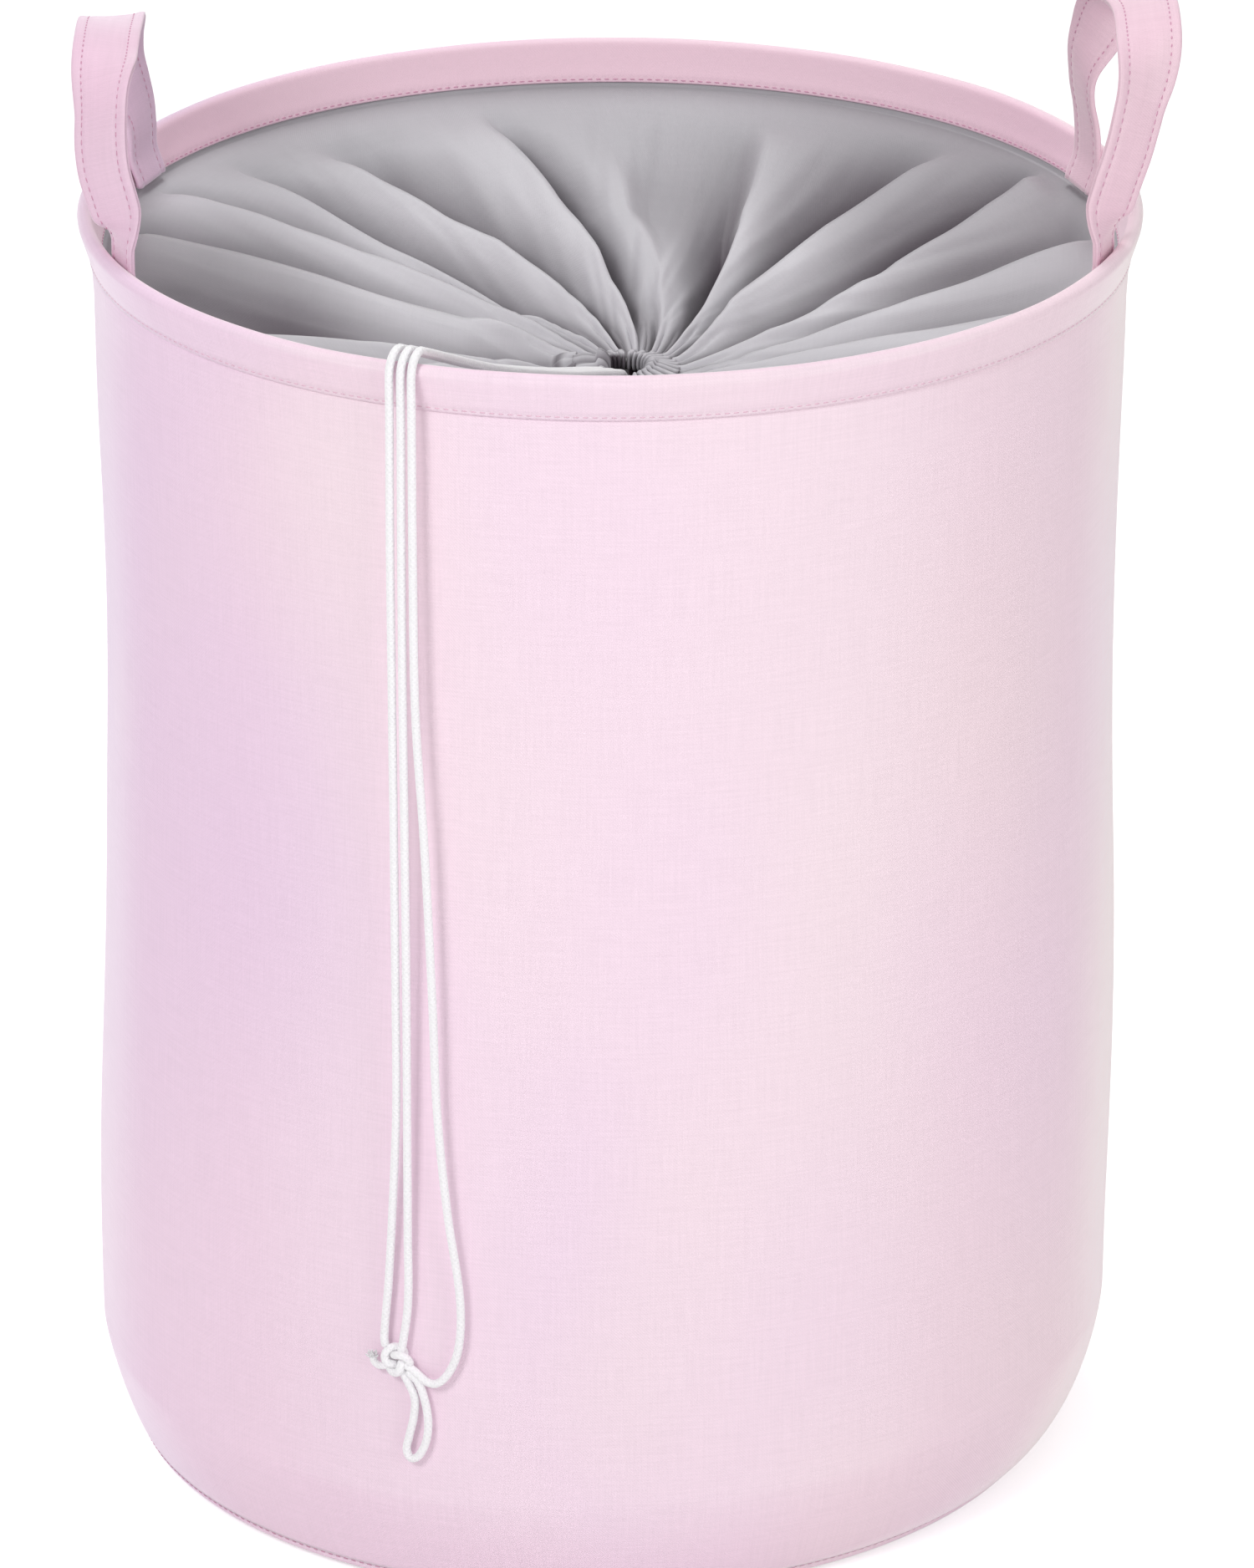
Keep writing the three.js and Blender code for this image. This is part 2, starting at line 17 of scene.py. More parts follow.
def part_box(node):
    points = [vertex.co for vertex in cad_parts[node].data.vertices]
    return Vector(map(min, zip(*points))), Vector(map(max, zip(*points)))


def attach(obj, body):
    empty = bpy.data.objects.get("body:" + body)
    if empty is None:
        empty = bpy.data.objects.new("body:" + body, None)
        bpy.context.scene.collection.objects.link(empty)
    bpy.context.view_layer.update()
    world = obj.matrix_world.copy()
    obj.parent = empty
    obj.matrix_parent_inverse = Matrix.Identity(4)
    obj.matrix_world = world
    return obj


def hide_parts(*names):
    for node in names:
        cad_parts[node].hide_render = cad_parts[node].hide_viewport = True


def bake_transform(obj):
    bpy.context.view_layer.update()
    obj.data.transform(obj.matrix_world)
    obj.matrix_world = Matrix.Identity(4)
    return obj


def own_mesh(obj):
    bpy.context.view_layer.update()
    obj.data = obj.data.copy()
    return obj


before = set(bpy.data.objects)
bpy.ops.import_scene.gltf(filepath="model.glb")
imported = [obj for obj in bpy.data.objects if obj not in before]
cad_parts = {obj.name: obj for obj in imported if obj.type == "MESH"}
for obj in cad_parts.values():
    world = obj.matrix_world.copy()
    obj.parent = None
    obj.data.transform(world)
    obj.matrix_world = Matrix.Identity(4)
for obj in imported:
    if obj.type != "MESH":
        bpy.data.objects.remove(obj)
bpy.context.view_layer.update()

# %% [markdown]
# ## Camera
#
# The hamper was photographed from a little above and from far away with a long lens, so its sides
# stay almost parallel. The camera is placed by the point that it looks at, its distance from there
# and how far it looks down. Three numbers like these are easier to adjust than a bare position.

# %% Camera
AIM = Vector((0.0063, 0.0, 0.2597))
CAMERA_DISTANCE = 3.4
CAMERA_PITCH = math.radians(22.517)

camera = bpy.data.objects.new("camera", bpy.data.cameras.new("camera"))
look = Vector((0, math.cos(CAMERA_PITCH), -math.sin(CAMERA_PITCH)))
camera.location = AIM - look * CAMERA_DISTANCE
camera.rotation_euler = (math.pi / 2 - CAMERA_PITCH, 0, 0)
camera.data.lens = 201.1
bpy.context.scene.collection.objects.link(camera)
bpy.context.scene.camera = camera
print("camera at", [round(x, 3) for x in camera.location])

# %% [markdown]
# ## Sizes
#
# Two sizes come from the frame, the rim's radius and its height. The rest are the hamper's own
# measures, in metres: how far each line of the tub is set in from the rim.

# %% Sizes
rim_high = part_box("rim_hem")[1]
RIM_RADIUS = round(rim_high.x, 4)
TOP = round(rim_high.z, 4)
HEM_FOOT = TOP - 0.017
ROLL_RADIUS = 0.003
HOOP_RADIUS, HOOP_HEIGHT = RIM_RADIUS - ROLL_RADIUS, TOP - ROLL_RADIUS
HEM_OUTER_FOOT, HEM_INNER_FOOT = RIM_RADIUS - 0.0045, RIM_RADIUS - 0.0098
THROAT_RADIUS = RIM_RADIUS - 0.006
WAIST_RADIUS, WAIST_HEIGHT = RIM_RADIUS - 0.0078, 0.35
BELLY_RADIUS, BELLY_HEIGHT = RIM_RADIUS - 0.0029, 0.095
SEAM_RADIUS, SEAM_HEIGHT = RIM_RADIUS - 0.0185, 0.005
BASE_FLAT_RADIUS = SEAM_RADIUS - 0.008
CORNER_HEIGHT = 0.054
MOUTH = Vector((0.006, -0.004, TOP - 0.069))
print(f"rim radius {RIM_RADIUS}, height {TOP}")

# %% [markdown]
# ## The cloth grid
#
# A cut of cloth is a flat grid with a map on it. Bending it into shape is then only a matter of
# saying where each point of the cloth goes. Its map keeps the cloth's own measures in metres, so
# a weave keeps its true size on every piece, however the cloth is folded. Sculpting would give the
# same shapes, but a rule for each point can be changed later by changing one number.

# %% Helpers for cloth
def smoothly(share):
    """Eases from 0 to 1 without a corner at either end."""
    share = min(1.0, max(0.0, share))
    return share * share * (3 - 2 * share)


def between(low, high, share):
    """The value a share of the way from low to high."""
    return low + (high - low) * share


def way_out(azimuth):
    """The level direction that leads outwards at an angle round the tub."""
    return Vector((math.cos(azimuth), math.sin(azimuth), 0))


def cut_cloth(across, along, place, map_size, joined=False):
    """A grid whose points (0..1, 0..1) are moved to place(u, v), with a map of map_size metres."""
    cloth = bmesh.new()
    sheet_map = cloth.loops.layers.uv.new("cloth")
    bmesh.ops.create_grid(cloth, x_segments=across, y_segments=along, size=0.5, calc_uvs=True)
    for face in cloth.faces:
        for corner in face.loops:
            corner[sheet_map].uv *= Vector(map_size)
    for point in cloth.verts:
        point.co = place(point.co.x + 0.5, point.co.y + 0.5)
    if joined:
        bmesh.ops.remove_doubles(cloth, verts=cloth.verts, dist=1e-6)
    return cloth


def finished(cloth, name, material, closed=True):
    """Makes the worked mesh an object at the origin, with smooth faces that point outwards."""
    if closed:
        bmesh.ops.recalc_face_normals(cloth, faces=cloth.faces)
    mesh = bpy.data.meshes.new(name)
    cloth.to_mesh(mesh)
    cloth.free()
    mesh.shade_smooth()
    mesh.materials.append(material)
    piece = bpy.data.objects.new(name, mesh)
    bpy.context.scene.collection.objects.link(piece)
    return piece


def thicken(piece, thickness, offset=-1.0):
    """Gives a single skin of cloth its thickness."""
    wall = piece.modifiers.new("thickness", "SOLIDIFY")
    wall.thickness = thickness
    wall.offset = offset
    return piece


# %% [markdown]
# ## Lines
#
# Cords, straps and hems all follow a line. It is given by the few points that the real thing passes
# through, and Blender's own Bezier function draws a smooth curve through them all. The curve is
# then cut into even steps, because a cord whose rings bunch up in places shows it in its braid.

# %% Helpers for lines
def even_steps(line, spacing):
    """The same line as points that are evenly spaced, a little closer than spacing."""
    reached = [0.0]
    for here, ahead in zip(line, line[1:]):
        reached.append(reached[-1] + (ahead - here).length)
    count = max(2, math.ceil(reached[-1] / spacing))
    stepped, k = [], 0
    for i in range(count + 1):
        goal = reached[-1] * i / count
        while k < len(line) - 2 and reached[k + 1] < goal:
            k += 1
        share = (goal - reached[k]) / (reached[k + 1] - reached[k])
        stepped.append(line[k].lerp(line[k + 1], share))
    return stepped


def smooth_line(points, spacing, closed=False):
    """Even steps along a smooth curve through the points."""
    points = [Vector(point) for point in points]
    count = len(points)
    line = []
    for i in range(count if closed else count - 1):
        here, ahead = points[i], points[(i + 1) % count]
        before = points[i - 1] if closed or i else here * 2 - ahead
        after = points[(i + 2) % count] if closed or i + 2 < count else ahead * 2 - here
        reach = (ahead - here).length / 3
        out = here + (ahead - before).normalized() * reach
        back = ahead - (after - here).normalized() * reach
        steps = max(4, int((ahead - here).length / spacing * 2) + 2)
        line += geometry.interpolate_bezier(here, out, back, ahead, steps)[:-1]
    line.append(points[0] if closed else points[-1])
    return even_steps(line, spacing)


def line_length(line):
    """The length of a line of points."""
    return sum((ahead - here).length for here, ahead in zip(line, line[1:]))


def directions(line, closed=False):
    """The way that the line runs at each of its points."""
    last = len(line) - 1
    ways = []
    for i in range(last + 1):
        before = line[i - 1] if i else (line[last - 1] if closed else line[0])
        after = line[i + 1] if i < last else (line[1] if closed else line[last])
        ways.append((after - before).normalized())
    return ways


# %% [markdown]
# ## Materials: small tools
#
# A material is a tree of nodes. A few short helpers keep the trees readable: one fills a node's
# inputs with values or wires, one adds a node, one is for sums, one mixes two colours, and one
# stretches a range of values to another. An effect that several finishes share, such as a weave, is
# a node group with named inputs, and each finish uses it with its own values.

# %% Helpers for materials
def fill(tree, node, inputs):
    """Gives each input of a node its value, or its wire if the value is a node's output."""
    for socket, value in inputs.items():
        if isinstance(value, bpy.types.NodeSocket):
            tree.links.new(value, node.inputs[socket])
        else:
            node.inputs[socket].default_value = value


def add_node(tree, kind, inputs=None, **settings):
    """Adds a node with its settings and its inputs."""
    made = tree.nodes.new("ShaderNode" + kind)
    for name, value in settings.items():
        setattr(made, name, value)
    fill(tree, made, inputs or {})
    return made


def sum_of(tree, operation, *values):
    """The output of a Math node."""
    return add_node(tree, "Math", dict(enumerate(values)), operation=operation).outputs[0]


def blended(tree, share, first, second, blend="MIX"):
    """The output of a Mix node between two colours."""
    inputs = {0: share, 6: first, 7: second}
    return add_node(tree, "Mix", inputs, data_type="RGBA", blend_type=blend).outputs[2]


def stretched(tree, value, low, high, into_low=0.0, into_high=1.0, **settings):
    """A Map Range node's output: value from low..high becomes into_low..into_high."""
    inputs = {0: value, 1: low, 2: high, 3: into_low, 4: into_high}
    return add_node(tree, "MapRange", inputs, **settings).outputs[0]


def shared_effect(name, inputs, outputs):
    """An empty node group with its sockets, and its two end nodes."""
    group = bpy.data.node_groups.new(name, "ShaderNodeTree")
    for way, sockets in (("INPUT", inputs), ("OUTPUT", outputs)):
        for label, kind in sockets.items():
            group.interface.new_socket(label, in_out=way, socket_type="NodeSocket" + kind)
    start = group.nodes.new("NodeGroupInput").outputs
    end = group.nodes.new("NodeGroupOutput").inputs
    return group, start, end


def place_effect(tree, effect, inputs):
    """Puts a shared effect in a material and returns its outputs."""
    made = tree.nodes.new("ShaderNodeGroup")
    made.node_tree = effect
    fill(tree, made, inputs)
    return made.outputs


def paint(red, green, blue):
    """A colour as the eye reads it, 0 to 255, turned into the light values that Blender uses."""
    def light(value):
        value /= 255
        return value / 12.92 if value <= 0.04045 else ((value + 0.055) / 1.055) ** 2.4

    return (light(red), light(green), light(blue), 1.0)


def new_finish(name):
    """A new material with its tree and its Principled BSDF."""
    finish = bpy.data.materials.new(name)
    finish.use_nodes = True
    return finish, finish.node_tree, finish.node_tree.nodes["Principled BSDF"]


# %% [markdown]
# ## Weave
#
# The tub is a plain-woven linen look: fine threads over and under, with slubs, the long thick spots
# in a thread. The weave reads the piece's own map, in metres, so it bends with the cloth. Two waves
# give the over and under, and two stretched noises give the slubs of warp and weft. A woven image
# could do the same, but it would blur up close and show its repeat.

# %% Weave effect
weave, at, out = shared_effect(
    "weave",
    {"Cloth map": "Vector", "Thread": "Float", "Slubs": "Float"},
    {"Height": "Float", "Streak": "Float"},
)
scaled = add_node(weave, "VectorMath", {0: at["Cloth map"], 3: 1.0}, operation="SCALE")
weave.links.new(sum_of(weave, "DIVIDE", math.pi, at["Thread"]), scaled.inputs["Scale"])
sides = add_node(weave, "SeparateXYZ", {0: scaled.outputs[0]}).outputs
over_under = sum_of(
    weave, "MULTIPLY", sum_of(weave, "SINE", sides[0]), sum_of(weave, "SINE", sides[1])
)
streaks = []
for stretch in ((45.0, 1100.0, 0.0), (1300.0, 35.0, 0.0)):
    placed = add_node(weave, "Mapping", {0: at["Cloth map"], 3: stretch})
    streaks.append(
        add_node(weave, "TexNoise", {"Vector": placed.outputs[0], "Scale": 1.0, "Detail": 2.0})
        .outputs[0]
    )
streak = sum_of(weave, "MULTIPLY", sum_of(weave, "ADD", *streaks), 0.5)
weave.links.new(streak, out["Streak"])
thick = sum_of(weave, "MULTIPLY", streak, at["Slubs"])
weave.links.new(sum_of(weave, "MULTIPLY_ADD", over_under, 0.35, thick), out["Height"])
print("weave has", len(weave.nodes), "nodes")

# %% [markdown]
# ## Soft drifts of dye
#
# The pink isn't even: lilac gathers on the left and cream drifts through the right. A slow noise on
# the object's own coordinates, tilted from left to right, moves the colour between three dyes. It
# reads Object coordinates, so the drift runs on from one piece to the next across their seams.

# %% Drift effect
drift, at, out = shared_effect(
    "drift",
    {"Place": "Vector", "Main dye": "Color", "Cool dye": "Color", "Warm dye": "Color"},
    {"Colour": "Color"},
)
sideways = add_node(drift, "SeparateXYZ", {0: at["Place"]}).outputs[0]
slow = add_node(drift, "Mapping", {0: at["Place"], 1: (1.7, 0.3, 1.31), 3: (5.0, 5.0, 3.4)})
cool = add_node(drift, "TexNoise", {"Vector": slow.outputs[0], "Scale": 1.0, "Detail": 1.0})
other = add_node(drift, "Mapping", {0: at["Place"], 1: (7.1, 2.2, 4.4), 3: (6.0, 6.0, 4.0)})
warm = add_node(drift, "TexNoise", {"Vector": other.outputs[0], "Scale": 1.0, "Detail": 1.0})
cool = sum_of(drift, "MULTIPLY_ADD", sideways, -1.4, cool.outputs[0])
warm = sum_of(drift, "MULTIPLY_ADD", sideways, 0.8, warm.outputs[0])
cool_share = stretched(drift, cool, 0.56, 0.95)
warm_share = stretched(drift, warm, 0.48, 0.8)
cooled = blended(drift, cool_share, at["Main dye"], at["Cool dye"])
drift.links.new(blended(drift, warm_share, cooled, at["Warm dye"]), out["Colour"])
print("drift has", len(drift.nodes), "nodes")

# %% [markdown]
# ## Puckers along a seam
#
# A machine seam draws the cloth in: a shallow trough runs along it, a little deeper at each stitch.
# The effect takes the distance along the seam and the distance from it, both from the cloth's map.

# %% Pucker effect
STITCH = 0.0034

pucker, at, out = shared_effect(
    "pucker",
    {"Along": "Float", "From seam": "Float", "Reach": "Float"},
    {"Height": "Float", "Trough": "Float"},
)
off = sum_of(pucker, "DIVIDE", at["From seam"], at["Reach"])
off_squared = sum_of(pucker, "MULTIPLY", off, off)
trough = sum_of(pucker, "EXPONENT", sum_of(pucker, "MULTIPLY", off_squared, -1.0))
beat = sum_of(pucker, "COSINE", sum_of(pucker, "MULTIPLY", at["Along"], 2 * math.pi / STITCH))
uneven = sum_of(pucker, "MULTIPLY_ADD", beat, -0.3, -0.7)
pucker.links.new(sum_of(pucker, "MULTIPLY", trough, uneven), out["Height"])
pucker.links.new(trough, out["Trough"])
print("pucker has", len(pucker.nodes), "nodes")


# %% [markdown]
# ## Pink cloth
#
# Wall, base, hem and straps are one family of cloth: woven, lightly coated, with a soft pale bloom
# where it turns away from the eye. One recipe makes them all, with other dyes and seams each time.
# The bloom is partly the sheen of the shader, as real fibres stand up from the cloth and catch the
# light, and partly a painted sheen that pales the colour at the very edge. A painted shade deepens
# the pink where the cloth starts to turn away. The Layer Weight node tells the two apart.

# %% Pink cloth finishes
PINK_RELIEF = 0.00009
SEAM_DEPTH, SEAM_SHADE = 0.22, -0.05
INSIDE_SHADE_FADE = 0.004


def pink_cloth(name, main, cool, warm, seams=(), thread=0.0006, inside_shade=None):
    """A finish of woven pink cloth. Each seam is (axis, where it runs on the map, its reach).

    The hem's inside can be painted a deeper pink as shade: (that pink, where on the map it starts).
    """
    finish, tree, surface = new_finish(name)
    cloth_map = add_node(tree, "UVMap", uv_map="cloth").outputs[0]
    place = add_node(tree, "TexCoord").outputs["Object"]
    woven = place_effect(tree, weave, {"Cloth map": cloth_map, "Thread": thread, "Slubs": 1.0})
    dyed = place_effect(
        tree, drift, {"Place": place, "Main dye": main, "Cool dye": cool, "Warm dye": warm}
    )
    shade = stretched(tree, woven["Streak"], 0.3, 0.7, 0.955, 1.03)
    colour = blended(tree, 1.0, dyed["Colour"], shade, "MULTIPLY")
    height = sum_of(tree, "MULTIPLY", woven["Height"], PINK_RELIEF)
    ways = add_node(tree, "SeparateXYZ", {0: cloth_map}).outputs
    if inside_shade:
        # The inside is painted a deeper pink, as shade.
        inside = stretched(tree, ways[1], inside_shade[1], inside_shade[1] + INSIDE_SHADE_FADE)
        colour = blended(tree, inside, colour, inside_shade[0])
    # Painted shade deepens the pink where the cloth turns away from the eye, and a painted sheen
    # pales it at the very edge.
    facing = add_node(tree, "LayerWeight", {"Blend": 0.5}).outputs["Facing"]
    turning = stretched(tree, facing, 0.14, 0.4, interpolation_type="SMOOTHSTEP")
    leaving = stretched(tree, facing, 0.6, 0.9, interpolation_type="SMOOTHSTEP")
    painted_shade_and_sheen = blended(tree, turning, (1, 1, 1, 1), (0.99, 0.945, 0.975, 1))
    painted_shade_and_sheen = blended(tree, leaving, painted_shade_and_sheen, (1.1, 1.16, 1.12, 1))
    colour = blended(tree, 1.0, colour, painted_shade_and_sheen, "MULTIPLY")
    for axis, where, reach in seams:
        away = sum_of(tree, "SUBTRACT", ways[axis], where)
        drawn = place_effect(
            tree, pucker, {"Along": ways[1 - axis], "From seam": away, "Reach": reach}
        )
        height = sum_of(tree, "MULTIPLY_ADD", drawn["Height"], reach * SEAM_DEPTH, height)
        # Along the seam's trough the colour is painted a little darker, as shade.
        painted_shade = sum_of(tree, "MULTIPLY_ADD", drawn["Trough"], SEAM_SHADE, 1.0)
        colour = blended(tree, 1.0, colour, painted_shade, "MULTIPLY")
    bump = add_node(tree, "Bump", {"Height": height, "Strength": 1.0, "Distance": 1.0})
    fill(tree, surface, {
        "Base Color": colour,
        "Roughness": stretched(tree, woven["Streak"], 0.3, 0.7, 0.7, 0.56),
        "Normal": bump.outputs[0],
        "Specular IOR Level": 0.3,
        "Sheen Weight": 0.35,
        "Sheen Roughness": 0.5,
        "Sheen Tint": (1.0, 0.97, 1.0, 1.0),
    })
    return finish


PINK, LILAC, CREAM = paint(248, 224, 238), paint(240, 214, 238), paint(250, 230, 235)
# A deeper pink for the straps, and a deeper pink painted on the hem's inside as shade.
DEEP_PINK, HEM_INSIDE_SHADE_PINK = paint(239, 204, 220), paint(245, 211, 225)
print("pink", [round(x, 3) for x in PINK])

# %% [markdown]
# ## Grey cover cloth
#
# The cover is a thin polyester with a slight silk to it: smoother than the tub and a little glossy,
# so its folds have soft highlights on their crests, which a painted highlight brightens further. It
# keeps a finer weave and a few slubs. Cloth looks darker down in a fold, where light only reaches
# it by way of other cloth, and the finish paints that shade. The cover brings a second map that
# says how much painted shade each point gets and how near a crest it is, for the painted highlight.

# %% Grey cloth finish
GREY_THREAD, GREY_RELIEF, CREASE_RELIEF = 0.00045, 0.00006, 0.0003
# A painted highlight for the crests and a painted shade for the valleys.
PAINTED_CREST_HIGHLIGHT, PAINTED_VALLEY_SHADE = (1.4, 1.4, 1.39, 1), (0.18, 0.145, 0.17, 1)


def grey_cloth(name, shade_low, shade_high):
    """The cover's finish, cloudy between two greys, with painted shade in its folds and a painted
    highlight on its crests.
    """
    finish, tree, surface = new_finish(name)
    cloth_map = add_node(tree, "UVMap", uv_map="cloth").outputs[0]
    place = add_node(tree, "TexCoord").outputs["Object"]
    woven = place_effect(
        tree, weave, {"Cloth map": cloth_map, "Thread": GREY_THREAD, "Slubs": 0.6}
    )
    cloudy = add_node(tree, "TexNoise", {"Vector": place, "Scale": 14.0, "Detail": 3.0})
    colour = blended(tree, cloudy.outputs[0], shade_low, shade_high)
    shade = stretched(tree, woven["Streak"], 0.3, 0.7, 0.97, 1.02)
    colour = blended(tree, 1.0, colour, shade, "MULTIPLY")
    # The second map paints shade deep in the folds and a highlight on their crests.
    painted_shading = add_node(tree, "UVMap", uv_map="fold").outputs[0]
    valley, crest, _ = add_node(tree, "SeparateXYZ", {0: painted_shading}).outputs
    tone = blended(tree, crest, (1.0, 1.0, 1.0, 1), PAINTED_CREST_HIGHLIGHT)
    tone = blended(tree, stretched(tree, valley, 0.12, 0.7), tone, PAINTED_VALLEY_SHADE)
    colour = blended(tree, 1.0, colour, tone, "MULTIPLY")
    creases = add_node(tree, "TexNoise", {"Vector": place, "Scale": 120.0, "Detail": 2.0})
    height = sum_of(tree, "MULTIPLY", woven["Height"], GREY_RELIEF)
    height = sum_of(tree, "MULTIPLY_ADD", creases.outputs[0], CREASE_RELIEF, height)
    bump = add_node(tree, "Bump", {"Height": height, "Strength": 1.0, "Distance": 1.0})
    fill(tree, surface, {
        "Base Color": colour,
        "Roughness": stretched(tree, cloudy.outputs[0], 0.3, 0.7, 0.5, 0.6),
        "Normal": bump.outputs[0],
        "Specular IOR Level": 0.35,
        "Sheen Weight": 0.2,
        "Sheen Roughness": 0.4,
    })
    return finish


GREY_LOW, GREY_HIGH = paint(172, 170, 175), paint(182, 180, 185)
grey_cover = grey_cloth("grey_cover_cloth", GREY_LOW, GREY_HIGH)
print("made", grey_cover.name)

# %% [markdown]
# ## Cotton cord, tape and thread
#
# The cord is a soft white braid: two sets of yarns that cross as they wind round it. Its map runs
# once round the cord and along it in metres, so two slanting waves make the crossing, and the white
# is painted a little darker between the yarns, as shade. Light goes into white cotton and comes out
# again, which is what the subsurface stands for; the faint glow is painted light that brightens it.
# The tapes are a twill of the same cotton, and the sewing thread is plain and a little uneven.

# %% Cord, tape and thread finishes
def cotton_braid(name, colour, pitch, turns):
    """White cotton whose yarns cross once in each pitch along it, and turns times round it."""
    finish, tree, surface = new_finish(name)
    cord_map = add_node(tree, "UVMap", uv_map="cloth").outputs[0]
    ways = add_node(tree, "SeparateXYZ", {0: cord_map}).outputs
    along = sum_of(tree, "MULTIPLY", ways[1], 2 * math.pi / pitch)
    round_it = sum_of(tree, "MULTIPLY", ways[0], 2 * math.pi * turns)
    left = sum_of(tree, "SINE", sum_of(tree, "ADD", along, round_it))
    right = sum_of(tree, "SINE", sum_of(tree, "SUBTRACT", along, round_it))
    yarns = sum_of(tree, "MAXIMUM", left, right)
    # The white is painted a little darker where the yarns dip, as shade.
    shade = stretched(tree, yarns, -0.6, 1.0, 0.96, 1.0)
    fibres = add_node(tree, "TexNoise", {"Vector": cord_map, "Scale": 900.0, "Detail": 2.0})
    tinted = blended(tree, 1.0, colour, shade, "MULTIPLY")
    height = sum_of(tree, "MULTIPLY_ADD", fibres.outputs[0], 0.5, yarns)
    bump = add_node(tree, "Bump", {"Height": height, "Strength": 0.7, "Distance": 0.00014})
    fill(tree, surface, {
        "Base Color": tinted,
        "Roughness": stretched(tree, fibres.outputs[0], 0.0, 1.0, 0.75, 0.92),
        "Normal": bump.outputs[0],
        "Specular IOR Level": 0.2,
        "Sheen Weight": 0.7,
        "Sheen Roughness": 0.6,
        "Subsurface Weight": 0.35,
        "Subsurface Radius": (1.0, 0.95, 1.0),
        "Subsurface Scale": 0.0012,
        # A faint painted glow brightens the white cotton.
        "Emission Color": (1.0, 0.97, 1.0, 1.0),
        "Emission Strength": 0.05,
    })
    return finish


def sewing_thread(name, colour):
    """Thread that is a little lighter and darker where it twists."""
    finish, tree, surface = new_finish(name)
    place = add_node(tree, "TexCoord").outputs["Object"]
    twist = add_node(tree, "TexNoise", {"Vector": place, "Scale": 2500.0, "Detail": 1.0}).outputs[0]
    shade = stretched(tree, twist, 0.3, 0.7, 0.85, 1.05)
    tinted = blended(tree, 1.0, colour, shade, "MULTIPLY")
    bump = add_node(tree, "Bump", {"Height": twist, "Strength": 0.5, "Distance": 0.0001})
    fill(tree, surface, {"Base Color": tinted, "Normal": bump.outputs[0], "Roughness": 0.55})
    return finish


white_braid = cotton_braid("white_cotton_braid", paint(251, 249, 252), 0.0021, 4)
white_tape = cotton_braid("white_twill_tape", paint(236, 232, 236), 0.0016, 900)
pink_thread = sewing_thread("pink_thread", paint(214, 156, 184))
pale_thread = sewing_thread("pale_pink_thread", paint(236, 196, 214))
print("made", white_braid.name, white_tape.name, pink_thread.name, pale_thread.name)

# %% [markdown]
# ## Cord
#
# A cord is a strip of cloth rolled round its line. At each step the strip needs to know which way
# is sideways; carrying that direction from step to step keeps the braid from twisting. Blender's
# curve bevel would also make a round cord, but it has no map in metres for the braid to follow.

# %% Rolling a cord
CUT_END = 0.04


def roll_cord(line, radius, sides=10, closed=False, ends=0.0):
    """A round cord along the line; ends is how far from each end it starts to round in."""
    ways = directions(line, closed)
    side = ways[0].orthogonal().normalized()
    frames = []
    for way in ways:
        side = (side - way * side.dot(way)).normalized()
        frames.append((side.copy(), way.cross(side)))
    last = len(line) - 1
    slip = 0.0
    if closed:
        slip = math.atan2(frames[0][0].dot(frames[-1][1]), frames[0][0].dot(frames[-1][0]))
    length = line_length(line)

    def place(u, v):
        i = round(v * last)
        angle = 2 * math.pi * u + slip * v
        from_end = min(v, 1 - v) * length
        taper = 1.0
        if ends and from_end < ends:
            rounded = math.sqrt(max(0.0, 1 - (1 - from_end / ends) ** 2))
            taper = rounded * (1 - CUT_END) + CUT_END
        around = frames[i][0] * math.cos(angle) + frames[i][1] * math.sin(angle)
        return line[i] + around * radius * taper

    cord = cut_cloth(sides, last, place, (1.0, length), joined=True)
    if not closed:
        open_edges = [edge for edge in cord.edges if edge.is_boundary]
        bmesh.ops.holes_fill(cord, edges=open_edges, sides=0)
    return cord


# %% [markdown]
# ## Drawstring
#
# A limp cotton cord 3.2 mm thick. Three runs of it leave the mouth of the cover, cross to the rim,
# turn over it and hang down the front, where a knot holds them. A cord that hangs takes its line
# from gravity, so its way down is nearly straight, and only its lower end swings about. The points
# below are where the real one hangs: how far across the front, and how high.

# %% Ways of the three strands
CORD, CORD_END = 0.0032, 0.0012
CORD_STEP, LOOP_STEP, KNOT_STEP = 0.0013, 0.0011, 0.0009
HANG_RADIUS = RIM_RADIUS + 0.0007 + CORD / 2
CORD_TOP = TOP + 0.002 + CORD / 2
STRAND_GAP = 0.0037
# how tightly the cord bends over the rim, and where it comes up out of the mouth
CORD_BEND, EXIT_BEND = 0.0076, 0.0066
# where it comes up: left of the middle, from how deep, and how far below the mouth it turns
EXIT_LEFT, EXIT_DEPTH, EXIT_DROP = 0.0038, 0.0078, 0.0048
EXIT_TURNS = (0, 0.55, 1.2)
# on its way across it sags: (share of the way, how far)
CORD_SAG = [(0.3, 0.0028), (0.65, 0.0034)]
OVER_RIM = (0.61, 0.5, 0.33, 0.17, 0)

